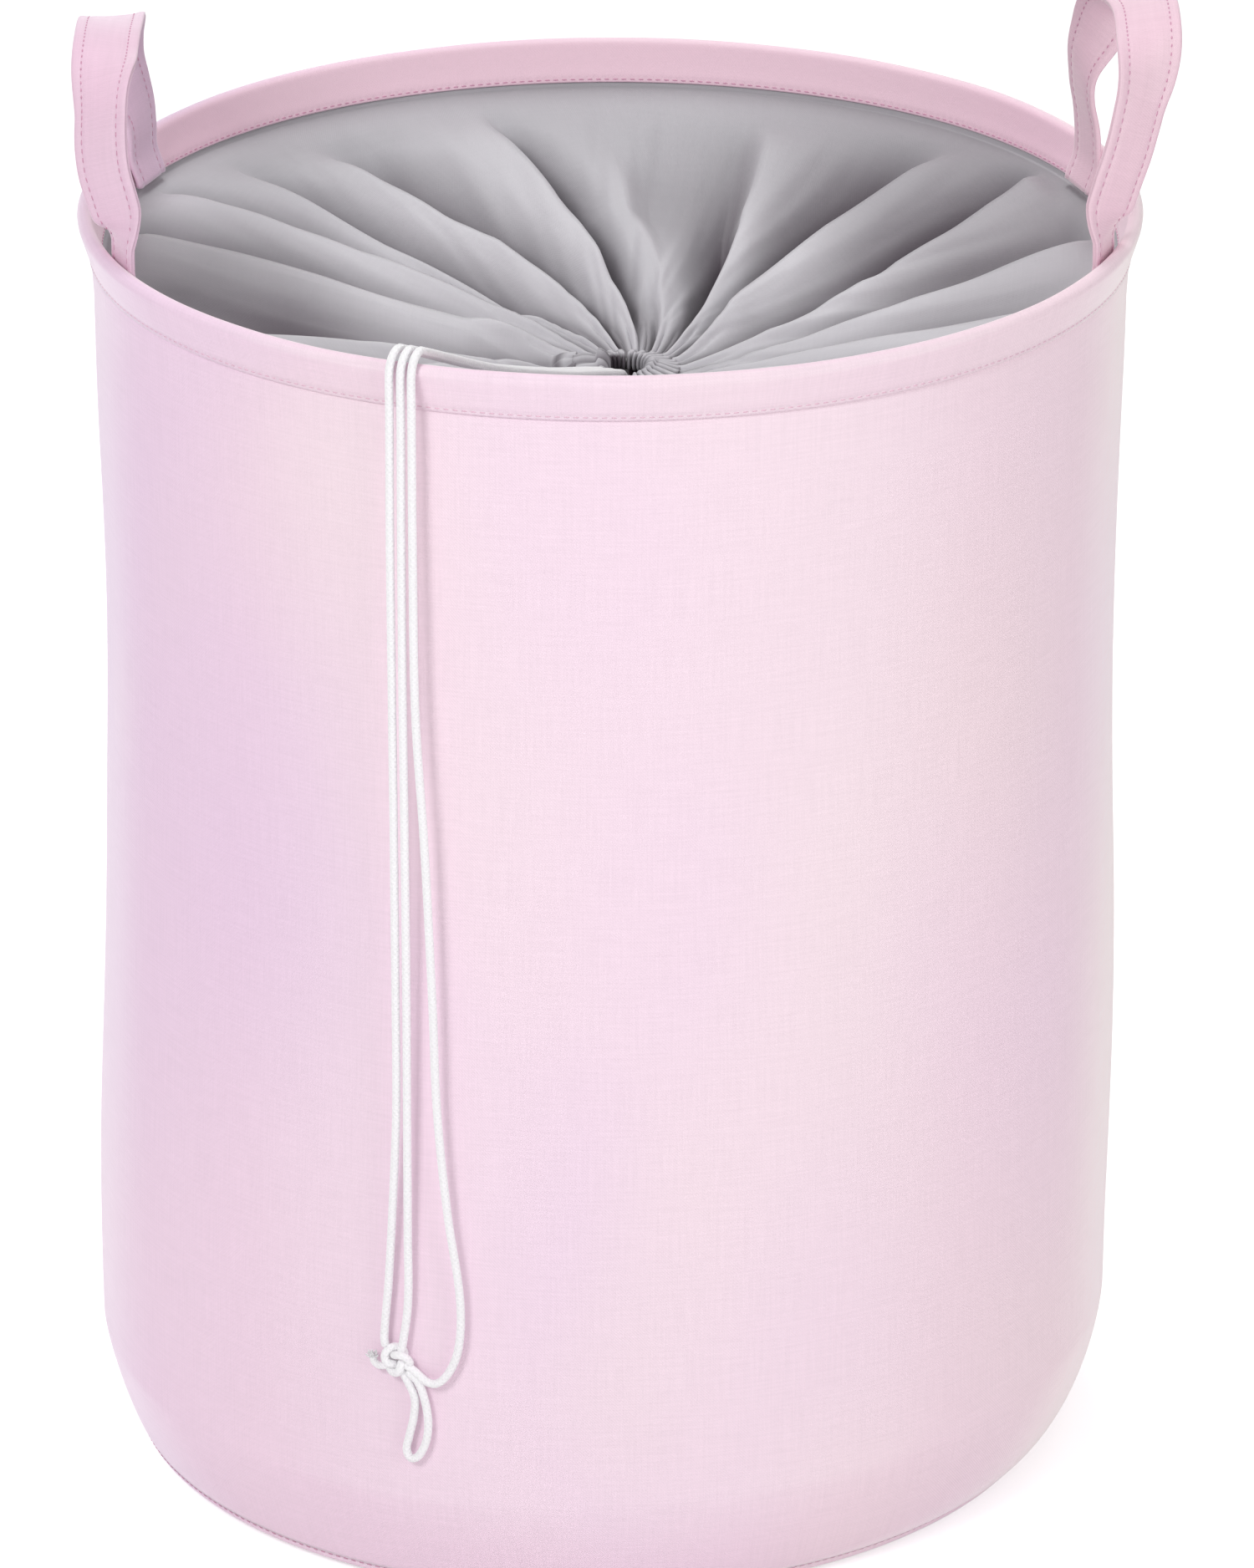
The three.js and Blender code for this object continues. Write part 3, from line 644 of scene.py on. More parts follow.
LEFT_WAY = [
    (-0.0789, 0.479), (-0.0792, 0.430), (-0.0791, 0.366), (-0.0790, 0.314), (-0.0790, 0.250),
    (-0.0792, 0.207), (-0.0806, 0.174), (-0.0827, 0.137), (-0.0847, 0.1118),
    (-0.0840, 0.1075),
]
MIDDLE_WAY = [
    (-0.0748, 0.480), (-0.0751, 0.430), (-0.0752, 0.366), (-0.0750, 0.315), (-0.0750, 0.250),
    (-0.0752, 0.207), (-0.0754, 0.157), (-0.0756, 0.128), (-0.0780, 0.109),
    (-0.0790, 0.1060),
]
RIGHT_WAY = [
    (-0.0709, 0.480), (-0.0710, 0.430), (-0.0706, 0.367), (-0.0678, 0.315), (-0.0653, 0.252),
    (-0.0640, 0.209), (-0.0605, 0.168), (-0.0560, 0.133), (-0.0566, 0.113), (-0.0608, 0.101),
    (-0.0666, 0.096), (-0.0742, 0.1006), (-0.0780, 0.1030),
]
LOOP_WAY = [
    (-0.0800, 0.102), (-0.0763, 0.096), (-0.0734, 0.089), (-0.0738, 0.081), (-0.0756, 0.0725),
    (-0.0766, 0.0665), (-0.0747, 0.0633), (-0.0716, 0.0657), (-0.0690, 0.0725),
    (-0.0684, 0.0805), (-0.0697, 0.089), (-0.0722, 0.0960), (-0.0765, 0.1000),
]
KNOT_PLACE = (-0.0800, 0.1035)


def hang(across, up):
    """A point that hangs against the front of the tub."""
    return Vector((across, -math.sqrt(HANG_RADIUS**2 - across**2), up))


def strand_line(place, way):
    """Out of the mouth, across to the rim, over it and down. place is -1, 0 or 1, side by side."""
    top = hang(*way[0])
    bearing = math.atan2(top.y, top.x)

    def over_rim(angle):
        out = HANG_RADIUS + CORD_BEND * (math.cos(angle) - 1)
        up = CORD_TOP + CORD_BEND * (math.sin(angle) - 1)
        return Vector((out * math.cos(bearing), out * math.sin(bearing), up))

    beside = place * STRAND_GAP
    start = MOUTH + Vector(
        (beside * math.sin(bearing) - EXIT_LEFT, -beside * math.cos(bearing), -EXIT_DEPTH)
    )
    leaving = over_rim(OVER_RIM[0] * math.pi)
    ahead = (leaving - start) * Vector((1, 1, 0))
    ahead.normalize()
    points = [start]
    for angle in EXIT_TURNS:
        point = start + ahead * EXIT_BEND * (1 - math.cos(angle))
        point.z = MOUTH.z - EXIT_DROP + EXIT_BEND * math.sin(angle)
        points.append(point)
    last = points[-1]
    points += [last.lerp(leaving, share) - Vector((0, 0, sag)) for share, sag in CORD_SAG]
    points += [over_rim(share * math.pi) for share in OVER_RIM]
    return smooth_line(points + [hang(*step) for step in way], CORD_STEP)


strand_lines = {
    "drawstring_left": strand_line(1, LEFT_WAY),
    "drawstring_middle": strand_line(0, MIDDLE_WAY),
    "drawstring_right": strand_line(-1, RIGHT_WAY),
}
for name, line in strand_lines.items():
    print(name, round(line_length(line), 4), "m in", len(line), "steps")

# %% [markdown]
# ## Knot, loop and frayed end
#
# The strands end in an overhand knot drawn up flat against the wall, with a small loop below it and
# a tuft where the cut ends have frayed. A trefoil is the mathematician's overhand knot: three waves
# going out and in while the line goes round twice. The fibres of the tuft are hair-thin cords.

# %% Make the cord pieces
KNOT_RADIUS, KNOT_WAVE, KNOT_DEPTH = 0.0037, 0.0015, 0.0021
KNOT_POINTS = 36


def crossing_rim(piece, *nodes):
    """Bakes the cord's place into its mesh and hides the frame's solids that it stands for."""
    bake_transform(piece)
    if nodes:
        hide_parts(*nodes)
    return piece


strands = {}
for name, line in strand_lines.items():
    strand = finished(roll_cord(line, CORD / 2, ends=CORD_END), name + "_braid", white_braid)
    strands[name] = crossing_rim(strand, name)

loop_line = smooth_line([hang(*step) for step in LOOP_WAY], LOOP_STEP)
end_loop = crossing_rim(
    finished(roll_cord(loop_line, CORD / 2, ends=CORD_END), "end_loop_braid", white_braid),
    "drawstring_end_loop",
)

knot_centre = hang(*KNOT_PLACE)
knot_out = Vector((knot_centre.x, knot_centre.y, 0)).normalized()
knot_side = Vector((0, 0, 1)).cross(knot_out)
knot_points = []
for i in range(KNOT_POINTS):
    angle = 2 * math.pi * i / KNOT_POINTS
    radius = KNOT_RADIUS + KNOT_WAVE * math.cos(3 * angle)
    knot_points.append(
        knot_centre
        + knot_out * KNOT_DEPTH * math.sin(3 * angle)
        + knot_side * radius * math.cos(2 * angle)
        + Vector((0, 0, radius * math.sin(2 * angle)))
    )
knot_line = smooth_line(knot_points, KNOT_STEP, closed=True)
knot = crossing_rim(
    finished(roll_cord(knot_line, CORD / 2, closed=True), "knot_braid", white_braid),
    "drawstring_knot",
)
print("loop", round(line_length(loop_line), 4), "knot", round(line_length(knot_line), 4))

# %% [markdown]
# The tuft is made from a fixed seed, so it frays the same way each time the script runs.

# %% Frayed tuft
fray = random.Random(11)
tuft = bmesh.new()
tuft.loops.layers.uv.new("cloth")


def add_to_tuft(cord):
    """Joins a cord to the tuft."""
    part = bpy.data.meshes.new("fibre")
    cord.to_mesh(part)
    cord.free()
    tuft.from_mesh(part)
    bpy.data.meshes.remove(part)


STUB_WAY = [(-0.0810, 0.1020), (-0.0858, 0.0998), (-0.0885, 0.1008), (-0.0892, 0.1040)]
FIBRES, FIBRE_RADIUS = 30, 0.0004
stub_line = smooth_line([hang(*step) for step in STUB_WAY], KNOT_STEP)
add_to_tuft(roll_cord(stub_line, CORD / 2 * 0.9, ends=CORD_END))
tuft_root = stub_line[-2]
for i in range(FIBRES):
    lean = Vector((fray.uniform(-0.8, 0.4), fray.uniform(-0.5, 0.0), fray.uniform(0.2, 1.0)))
    reach = fray.uniform(0.0018, 0.0038)
    tip = tuft_root + lean.normalized() * reach
    sway = Vector((fray.uniform(-1, 1), fray.uniform(-0.6, 0.2), fray.uniform(-1, 1))) * 0.0005
    start = tuft_root + Vector((fray.uniform(-1, 1), fray.uniform(-0.8, 0.8), -1)) * 0.0008
    fibre_line = smooth_line([start, start.lerp(tip, 0.55) + sway, tip], 0.0012)
    add_to_tuft(roll_cord(fibre_line, FIBRE_RADIUS, sides=5, ends=0.0006))
frayed_tuft = crossing_rim(finished(tuft, "frayed_tuft", white_braid))

for name, strand in strands.items():
    line = strand_lines[name]
    tuple(line[0])
    round(line_length(line), 4)
    [tuple(point) for point in line]
print("tuft has", len(frayed_tuft.data.polygons), "faces")

# %% [markdown]
# ## Wall
#
# The tub's wall is one long strip of cloth, joined by an upright seam at the back. Its side isn't a
# plain cylinder: it draws in at the waist, bellies out low down and turns in to its seam with the
# base. Cloth that has been folded flat for a while also keeps a few slow waves. The strip is rolled
# round the tub, and a rule gives its radius at each height; the waves are a slow noise on top. The
# strip ends just behind the lower edge of the hem, so it doesn't come through it when folded flat.

# %% Wall shape
def wall_radius(height):
    """Outside of the wall, before its waves."""
    if height <= BELLY_HEIGHT:
        return BELLY_RADIUS
    if height <= WAIST_HEIGHT:
        share = (height - BELLY_HEIGHT) / (WAIST_HEIGHT - BELLY_HEIGHT)
        return between(BELLY_RADIUS, WAIST_RADIUS, smoothly(share))
    share = (height - WAIST_HEIGHT) / (HEM_FOOT - WAIST_HEIGHT)
    under_hem = 0.0007 * smoothly((height - HEM_FOOT + 0.02) / 0.02)
    return between(WAIST_RADIUS, THROAT_RADIUS, smoothly(share)) + under_hem


def fullness(azimuth):
    """The lower part is fullest, 1, at the front left and slackest, 0, across from it."""
    return (0.5 + 0.5 * math.cos(azimuth - math.radians(209))) ** 1.78


def seam_radius(azimuth):
    """Where the wall meets the base."""
    return SEAM_RADIUS + between(-0.008, 0.007, fullness(azimuth))


def wall_point(azimuth, height):
    """A point of the wall's outside."""
    full = fullness(azimuth)
    corner = between(CORNER_HEIGHT, 0.043, full)
    radius = wall_radius(max(height, corner))
    radius += between(-0.0032, 0.0028, full) * smoothly((0.24 - height) / 0.17)
    if height < corner:
        share = max(0.0, (height - SEAM_HEIGHT) / (corner - SEAM_HEIGHT))
        curve = between(1.5, 1.22, full)
        turned = (1 - (1 - share) ** curve) ** (1 / curve)
        radius = between(seam_radius(azimuth), radius, turned)
    way = way_out(azimuth)
    waves = noise.noise(way * 1.7 + Vector((0, 0, height * 5.0)))
    waves += 0.45 * noise.noise(way * 4.2 + Vector((3, 0, height * 9.0)))
    free = smoothly((HEM_FOOT - 0.01 - height) / 0.07) * smoothly((height - 0.004) / 0.04)
    return way * (radius + waves * 0.0011 * free) + Vector((0, 0, height))


WALL_TOP = HEM_FOOT - 0.0002
CLOSE_ROWS, WIDE_ROWS = 0.0016, 0.0052


def row_step(height):
    """The rows lie closer where the cloth turns: at its foot and just below the hem."""
    turns = height < CORNER_HEIGHT or height > HEM_FOOT - 0.024
    return CLOSE_ROWS if turns else WIDE_ROWS


wall_heights = [SEAM_HEIGHT + 0.0003]
while wall_heights[-1] < WALL_TOP:
    wall_heights.append(min(wall_heights[-1] + row_step(wall_heights[-1]), WALL_TOP))
wall_rows = len(wall_heights) - 1
wall_run = [0.0]
for low, high in zip(wall_heights, wall_heights[1:]):
    wall_run.append(wall_run[-1] + (wall_point(0, high) - wall_point(0, low)).length)
ROUND = 2 * math.pi * RIM_RADIUS
print("wall rows", wall_rows, "cloth height", round(wall_run[-1], 4))

# %% [markdown]
# The map of the strip is set by the cloth's own height, row by row, because the rows are closer
# together where the cloth turns. Its seams, the hem's row of stitches above, the base seam below
# and the upright one at the back, are told to the finish so that it draws the cloth in there.

# %% Make the wall
hem_row = wall_run[-1]
wall_cloth = pink_cloth(
    "pink_wall_cloth", PINK, LILAC, CREAM,
    seams=[(1, hem_row, 0.0018), (1, 0.0006, 0.0014), (0, 0.0035, 0.0012)],
)
WALL_TURNS, WALL_THICK = 224, 0.0011


def on_wall(u, v):
    """Where the strip's point lies."""
    return wall_point(math.pi / 2 + 2 * math.pi * u, wall_heights[round(v * wall_rows)])


wall_mesh = cut_cloth(WALL_TURNS, wall_rows, on_wall, (ROUND, 1.0), joined=True)
sheet_map = wall_mesh.loops.layers.uv["cloth"]
for face in wall_mesh.faces:
    for corner in face.loops:
        corner[sheet_map].uv.y = wall_run[round(corner[sheet_map].uv.y * wall_rows)]
wall = thicken(finished(wall_mesh, "wall", wall_cloth), WALL_THICK)
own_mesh(wall)
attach(wall, "base")
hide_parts("wall_fabric")
print("wall faces", len(wall.data.polygons))

# %% [markdown]
# ## Base
#
# The base is a round of the same cloth whose edge turns up to meet the wall. Inside, the seam's raw
# edges are bound with white tape that leans in over the base. A profile turned about the axis with
# Spin makes both: it is the quickest way to anything round, and the last step is merged with the
# first so that the round is closed.

# %% Turning a profile
def turn(profile, steps):
    """Spins a line of (radius, height) points once round the upright axis."""
    made = bmesh.new()
    points = [made.verts.new((radius, 0, height)) for radius, height in profile]
    edges = [made.edges.new(pair) for pair in zip(points, points[1:])]
    bmesh.ops.spin(
        made,
        geom=points + edges,
        cent=(0, 0, 0),
        axis=(0, 0, 1),
        angle=2 * math.pi,
        steps=steps,
        use_merge=True,
    )
    bmesh.ops.remove_doubles(made, verts=made.verts, dist=1e-6)
    return made


def map_flat(made):
    """Gives a flat round piece its map: the cloth lies as it was cut, so the map is x and y."""
    sheet_map = made.loops.layers.uv.new("cloth")
    for face in made.faces:
        for corner in face.loops:
            corner[sheet_map].uv = corner.vert.co.xy
    return made


def map_round(made, radius):
    """Gives a ring its map: metres round it, and metres across its section."""
    sheet_map = made.loops.layers.uv.new("cloth")
    for face in made.faces:
        middle = face.calc_center_median()
        turned = math.atan2(middle.y, middle.x)
        for corner in face.loops:
            here = math.atan2(corner.vert.co.y, corner.vert.co.x)
            here += 2 * math.pi * round((turned - here) / (2 * math.pi))
            across = corner.vert.co.z + math.hypot(corner.vert.co.x, corner.vert.co.y)
            corner[sheet_map].uv = (here * radius, across)
    return made


# %% [markdown]
# The base sags and ripples a little where the seam has drawn it up. Its edge and the binding follow
# the wall's fuller front left, so they still meet.

# %% Make the base
BASE_RINGS, EDGE_RINGS, BASE_TURNS = 24, 10, 192
BASE_THICK = 0.0013
FLAT_MIDDLE = 0.12

base_profile = [(ring * BASE_FLAT_RADIUS / BASE_RINGS, 0.0) for ring in range(BASE_RINGS + 1)]
for step in range(1, EDGE_RINGS + 1):
    share = step / EDGE_RINGS
    base_profile.append(
        (between(BASE_FLAT_RADIUS, SEAM_RADIUS, share),
         SEAM_HEIGHT * (1 - math.sqrt(1 - share * share)))
    )
base_mesh = turn(base_profile, BASE_TURNS)
for point in base_mesh.verts:
    radius = point.co.xy.length
    azimuth = math.atan2(point.co.y, point.co.x)
    edge = smoothly((radius - FLAT_MIDDLE) / (SEAM_RADIUS - FLAT_MIDDLE))
    wide = radius + edge * (seam_radius(azimuth) - SEAM_RADIUS)
    if radius > 1e-6:
        point.co.x *= wide / radius
        point.co.y *= wide / radius
    slack = noise.noise(Vector((point.co.x * 18, point.co.y * 18, 0.5)))
    point.co.z += 0.0007 * max(0.0, slack) * (1 - edge) * smoothly(radius / 0.02)
base_cloth = pink_cloth("pink_base_cloth", PINK, LILAC, CREAM)
base = thicken(finished(map_flat(base_mesh), "base_cloth", base_cloth), BASE_THICK)
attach(base, "base")
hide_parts("base_panel")

BINDING_WIDTH, BINDING_HALF_THICK = 0.0098, 0.0009
binding_root = Vector((SEAM_RADIUS - 0.0017, SEAM_HEIGHT + 0.0012))
binding_lean = Vector((-math.cos(math.pi / 5), math.sin(math.pi / 5)))
binding_thick = Vector((binding_lean.y, -binding_lean.x)) * BINDING_HALF_THICK
binding_profile = []
for along, out_by in ((0, -1), (0.3, -1.05), (0.7, -1.05), (0.93, -0.9), (1, 0), (0.93, 0.9),
                      (0.7, 1.05), (0.3, 1.05), (0, 1), (0, -1)):
    reach = binding_lean * BINDING_WIDTH * along
    binding_profile.append(binding_root + reach - binding_thick * out_by)
binding_mesh = map_round(turn(binding_profile, BASE_TURNS), SEAM_RADIUS)
for point in binding_mesh.verts:
    way = point.co.xy.normalized()
    point.co.xy += way * (seam_radius(math.atan2(way.y, way.x)) - SEAM_RADIUS)
binding = finished(binding_mesh, "seam_binding", white_tape)
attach(binding, "base")
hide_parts("base_seam_binding")
print("base faces", len(base.data.polygons), "binding faces", len(binding.data.polygons))

# %% [markdown]
# ## Side seam tape
#
# Inside, at the back, a white tape covers the wall's one upright seam. It is a narrow strip that
# follows the wall from just above the base to just below the hem.

# %% Side seam tape
TAPE_LOW, TAPE_HIGH = 0.02, HEM_FOOT - 0.007
TAPE_WIDTH, TAPE_THICK = 0.014, 0.0007


def on_tape(u, v):
    """Where the tape's point lies: on the wall's inside, a little bowed and rippled."""
    height = between(TAPE_LOW, TAPE_HIGH, v)
    inside = wall_point(math.pi / 2, height).y - 0.0016
    ripple = 0.0002 * math.sin(v * 95) * math.sin(u * math.pi)
    return Vector(((0.5 - u) * TAPE_WIDTH, inside - abs(u - 0.5) * 0.0003 - ripple, height))


tape_mesh = cut_cloth(8, 150, on_tape, (TAPE_WIDTH, TAPE_HIGH - TAPE_LOW))
tape = thicken(finished(tape_mesh, "side_tape", white_tape, closed=False), TAPE_THICK, 1.0)
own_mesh(tape)
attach(tape, "base")
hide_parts("side_seam_tape")
print("tape is", round(TAPE_HIGH - TAPE_LOW, 3), "m long")

# %% [markdown]
# ## Hem
#
# The hem is a strip of cloth folded over the steel hoop and sewn through both layers, so it is
# round at the top and flat below. Its line is drawn once, in section, from the outside foot over
# the hoop to the inside foot, and the strip is rolled round the rim along it. Real hems are never
# quite even, so a slow wave lifts and widens it by fractions of a millimetre.

# %% Hem section
HEM_EDGE = HEM_FOOT - 0.0014
hem_section = [
    (HEM_OUTER_FOOT - 0.0007, HEM_EDGE + 0.0003),
    (HEM_OUTER_FOOT - 0.0002, HEM_EDGE),
    (HEM_OUTER_FOOT + 0.0001, HEM_EDGE + 0.0006),
    (HEM_OUTER_FOOT - 0.0001, HEM_EDGE + 0.0016),
    (HEM_OUTER_FOOT + 0.0006, HEM_EDGE + 0.0034),
    (HEM_OUTER_FOOT + 0.0021, HEM_EDGE + 0.0078),
]
for step in range(9):
    angle = math.pi * step / 8
    hem_section.append(
        (HOOP_RADIUS + ROLL_RADIUS * math.cos(angle), HOOP_HEIGHT + ROLL_RADIUS * math.sin(angle))
    )
hem_section += [
    (HEM_INNER_FOOT + 0.0021, HEM_FOOT + 0.0072),
    (HEM_INNER_FOOT + 0.0007, HEM_FOOT + 0.0030),
    (HEM_INNER_FOOT + 0.0003, HEM_FOOT + 0.0014),
    (HEM_INNER_FOOT, HEM_FOOT + 0.0003),
    (HEM_INNER_FOOT + 0.0006, HEM_FOOT),
]
hem_line = smooth_line([(radius, 0, height) for radius, height in hem_section], 0.0011)
hem_width = line_length(hem_line)
print("hem strip", round(hem_width, 4), "m wide in", len(hem_line) - 1, "rows")

# %% [markdown]
# The unevenness is a rule of its own, because the stitches must follow it too.

# %% Make the hem
HEM_TURNS, HEM_THICK = 256, 0.0006


def uneven_rim(point):
    """Moves a point of the rim by the hem's slow unevenness."""
    way = Vector((point.x, point.y, 0)).normalized()
    high = smoothly((point.z - HEM_FOOT + 0.002) / 0.015)
    out = noise.noise(way * 2.3 + Vector((0, 5, 0))) * 0.0004 - 0.0003
    up = noise.noise(way * 3.1 + Vector((8, 0, 0))) * 0.0006 - 0.0004
    return point + way * out * high + Vector((0, 0, up * high))


def on_hem(u, v):
    """Where the hem's point lies."""
    section = hem_line[round(v * (len(hem_line) - 1))]
    azimuth = math.pi / 2 + 2 * math.pi * u
    point = Vector((section.x * math.cos(azimuth), section.x * math.sin(azimuth), section.z))
    return uneven_rim(point)


hem_mesh = cut_cloth(HEM_TURNS, len(hem_line) - 1, on_hem, (ROUND, hem_width), joined=True)
hem_cloth = pink_cloth(
    "pink_hem_cloth", PINK, LILAC, CREAM,
    seams=[(1, 0.0024, 0.0013), (1, hem_width - 0.0021, 0.0013)],
    # The hem's inside is painted a deeper pink, as shade, from halfway across its strip.
    inside_shade=(HEM_INSIDE_SHADE_PINK, hem_width * 0.5),
)
hem = thicken(finished(hem_mesh, "hem", hem_cloth), HEM_THICK)
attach(hem, "rim")
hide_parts("rim_hem")
print("hem faces", len(hem.data.polygons))

# %% [markdown]
# ## Stitches
#
# A stitch is a short bead of thread pressed into the cloth. There are more than a thousand, so each
# is only an icosphere of twenty faces, pulled long and flat. One helper lays a row of them, given
# where each lies, which way it runs and which way is up from the cloth.

# %% Sewing a row of stitches
STITCH_SIZE = (0.00122, 0.00032, 0.00026)


def sew(name, places, material):
    """Lays a stitch at each (point, along, up)."""
    row = bmesh.new()
    for point, along, up in places:
        across = up.cross(along).normalized()
        up = along.cross(across).normalized()
        turned = Matrix((along.normalized(), across, up)).transposed().to_4x4()
        sized = Matrix.Diagonal((*STITCH_SIZE, 1.0))
        bmesh.ops.create_icosphere(
            row, subdivisions=1, radius=1.0, matrix=Matrix.Translation(point) @ turned @ sized
        )
    return finished(row, name, material)


def ring_row(radius, height, up, count=None, uneven=True):
    """Places for a row round the tub; up is (outwards, upwards) of the cloth there."""
    count = count or round(2 * math.pi * radius / STITCH)
    places = []
    for i in range(count):
        azimuth = math.pi / 2 + 2 * math.pi * (i + 0.5) / count
        way = way_out(azimuth)
        point = way * radius + Vector((0, 0, height))
        if uneven:
            point = uneven_rim(point)
        along = Vector((-way.y, way.x, 0))
        places.append((point, along, way * up[0] + Vector((0, 0, up[1]))))
    return places


outer_row = ring_row(HEM_OUTER_FOOT - 0.00008, HEM_EDGE + 0.0016, (1, -0.15))
inner_row = ring_row(HEM_INNER_FOOT + 0.00022, HEM_FOOT + 0.0014, (-1, 0.1))
for hem_stitches in (
    sew("outer_hem_stitches", outer_row, pale_thread),
    sew("inner_hem_stitches", inner_row, pink_thread),
):
    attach(hem_stitches, "rim")

base_stitches = []
seam_count = round(2 * math.pi * SEAM_RADIUS / STITCH)
for place, along, up in ring_row(1.0, 0.0, (1, -0.6), seam_count, uneven=False):
    azimuth = math.atan2(place.y, place.x)
    out = seam_radius(azimuth) + 0.00015
    base_stitches.append((place * out + Vector((0, 0, SEAM_HEIGHT)), along, up))
seam_stitches = sew("base_seam_stitches", base_stitches, pink_thread)
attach(seam_stitches, "base")
print("hem stitches", len(outer_row) + len(inner_row))

# %% [markdown]
# ## Hoop
#
# The hoop inside the hem is plain spring steel wire. Its own shape is right as it is, so it keeps
# the frame's solid and only gets a finish: drawn steel, with fine lines along the wire.

# %% Steel finish
steel, tree, surface = new_finish("spring_steel")
place = add_node(tree, "TexCoord").outputs["Object"]
drawn = add_node(tree, "Mapping", {0: place, 3: (60.0, 60.0, 2600.0)})
lines = add_node(tree, "TexNoise", {"Vector": drawn.outputs[0], "Scale": 1.0, "Detail": 2.0})
dull = stretched(tree, lines.outputs[0], 0.0, 1.0, 0.28, 0.46)
tint = blended(tree, lines.outputs[0], paint(168, 170, 174), paint(196, 198, 202))
fill(tree, surface, {"Base Color": tint, "Roughness": dull, "Metallic": 1.0})
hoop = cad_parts["rim_hoop_wire"]
hoop.data.materials.clear()
hoop.data.materials.append(steel)
print("hoop finish", steel.name)

# %% [markdown]
# ## Strap handles
#
# Each handle is one strap of doubled cloth. Its ends are sewn flat inside the hem; above the rim it
# turns its face and arches over on its edge, so from the front it is seen edge-on at its top. The
# line of the arch is given by a few points from foot to crown and mirrored for the other leg; then
# it leans out, the right one more than the left. A strap bends on its face but not on its edge, so
# a leg goes straight up until it has turned. The front leg turns quickly and the rear one all the
# way up. The section is drawn: two folded layers that meet in a line along one edge,
# with a dip where each row of stitches draws them together.

# %% Strap section and line
STRAP_WIDTH, STRAP_THICK = 0.0245, 0.0023
FOOT_RADIUS = HEM_INNER_FOOT - 0.001 - 0.0013
CROWN_TURN = 99
HINGE_HEIGHT = TOP + 0.0035
# the feet are sewn this far inside the hinge at their lower end, and follow the hem up to it
HINGE_OUT, FOOT_INSET, FOOT_INSET_HIGH = 0.0036, 0.0034, 0.014
# along the strap: the front leg has turned after this, and then turns on over the crown
QUICK_TURN, CROWN_START, CROWN_RUN = 0.014, 0.05, 0.045
# the rear leg has turned only here
SLOW_END = 0.095
HALF_ARCH = [
    (1, 0), (1, 0.12), (0.97, 0.28), (0.92, 0.45), (0.845, 0.62), (0.73, 0.78), (0.54, 0.9),
    (0.28, 0.975),
]
UPPER_EDGE = [
    (-1.0, 0.0), (-0.985, 0.55), (-0.95, 0.9), (-0.86, 1.05), (-0.74, 0.92), (-0.68, 0.72),
    (-0.62, 0.92), (-0.48, 1.0), (-0.2, 0.96), (0.1, 1.0), (0.4, 0.98), (0.6, 0.92), (0.66, 0.72),
    (0.72, 0.92), (0.84, 1.08), (0.94, 1.0), (0.99, 0.7), (1.0, 0.35),
]
STRAP_SECTION = UPPER_EDGE + [(0.955, 0.0)] + [(w, -t) for w, t in reversed(UPPER_EDGE[1:])]


def strap_sections(side, foot_half, rise, lean, lean_share, legs_part, turn):
    """Middle, width direction and face direction at each step of one strap, foot to foot.

    foot_half is half the distance between its feet. It leans out by lean, in full from lean_share
    of its rise. legs_part says how far its rear leg goes in and its front leg out. turn says how
    far its front leg turns at once, in degrees, and where along it the rear one starts to turn.
    """
    hinge_x = math.sqrt(FOOT_RADIUS**2 - foot_half**2)
    foot_turn = math.atan2(foot_half, hinge_x)
    hinge_x += HINGE_OUT
    legs = HALF_ARCH + [(0, 1)] + [(-y, z) for y, z in reversed(HALF_ARCH)]
    points = []
    for span, height in legs:
        part = legs_part[0] if span > 0 else legs_part[1]
        out = lean * smoothly(height / lean_share) - part * span * smoothly(height / 0.5)
        points.append(
            Vector((side * (hinge_x + out), span * foot_half, HINGE_HEIGHT + height * rise))
        )
    arch = smooth_line(points, 0.0018)
    length = line_length(arch)
    outwards = Vector((1, 0, 0))
    sections = []
    for i, (middle, way) in enumerate(zip(arch, directions(arch))):
        beside = way.cross(outwards).normalized()
        radial = beside.cross(way).normalized()
        run = min(i, len(arch) - 1 - i) / (len(arch) - 1) * length
        if i > len(arch) / 2:
            twist = between(foot_turn, math.radians(turn[0]), smoothly(run / QUICK_TURN))
            over_crown = smoothly((run - CROWN_START) / CROWN_RUN)
            twist += math.radians(CROWN_TURN - turn[0]) * over_crown
        else:
            late = smoothly((run - turn[1]) / (SLOW_END - turn[1]))
            twist = between(foot_turn, math.radians(CROWN_TURN), late)
        width = beside * math.cos(twist) - radial * side * math.sin(twist)
        sections.append((middle, width, width.cross(way).normalized()))
    feet = {1: [], -1: []}
    for end, foot in feet.items():
        angle = foot_turn * side * end
        for step in range(11):
            height = between(HEM_FOOT + 0.001, HINGE_HEIGHT - 0.0008, step / 10)
            width = Vector((-math.sin(angle), math.cos(angle), 0)) * end
            inset = FOOT_INSET * (1 - smoothly((height - HEM_FOOT) / FOOT_INSET_HIGH))
            middle = Vector((side * (hinge_x - inset), end * foot_half, height))
            foot.append((middle, width, way_out(angle)))
    return feet[1] + sections[1:-1] + feet[-1][::-1]


print("strap section has", len(STRAP_SECTION), "points")

# %% [markdown]
# The strap is then a strip rolled into that section and drawn along its line. Its two rows of
# stitches lie in the dips, on both faces, from one foot to the other.

# %% Make the straps
strap_cloth = pink_cloth(
    "pink_strap_cloth", DEEP_PINK, paint(230, 203, 224), paint(241, 209, 221), thread=0.0005,
)


STITCH_ROWS, STITCH_HEIGHT = (-0.68, 0.66), 0.74


def hinge_bend(piece):
    """Bakes the piece's place into its mesh."""
    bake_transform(piece)


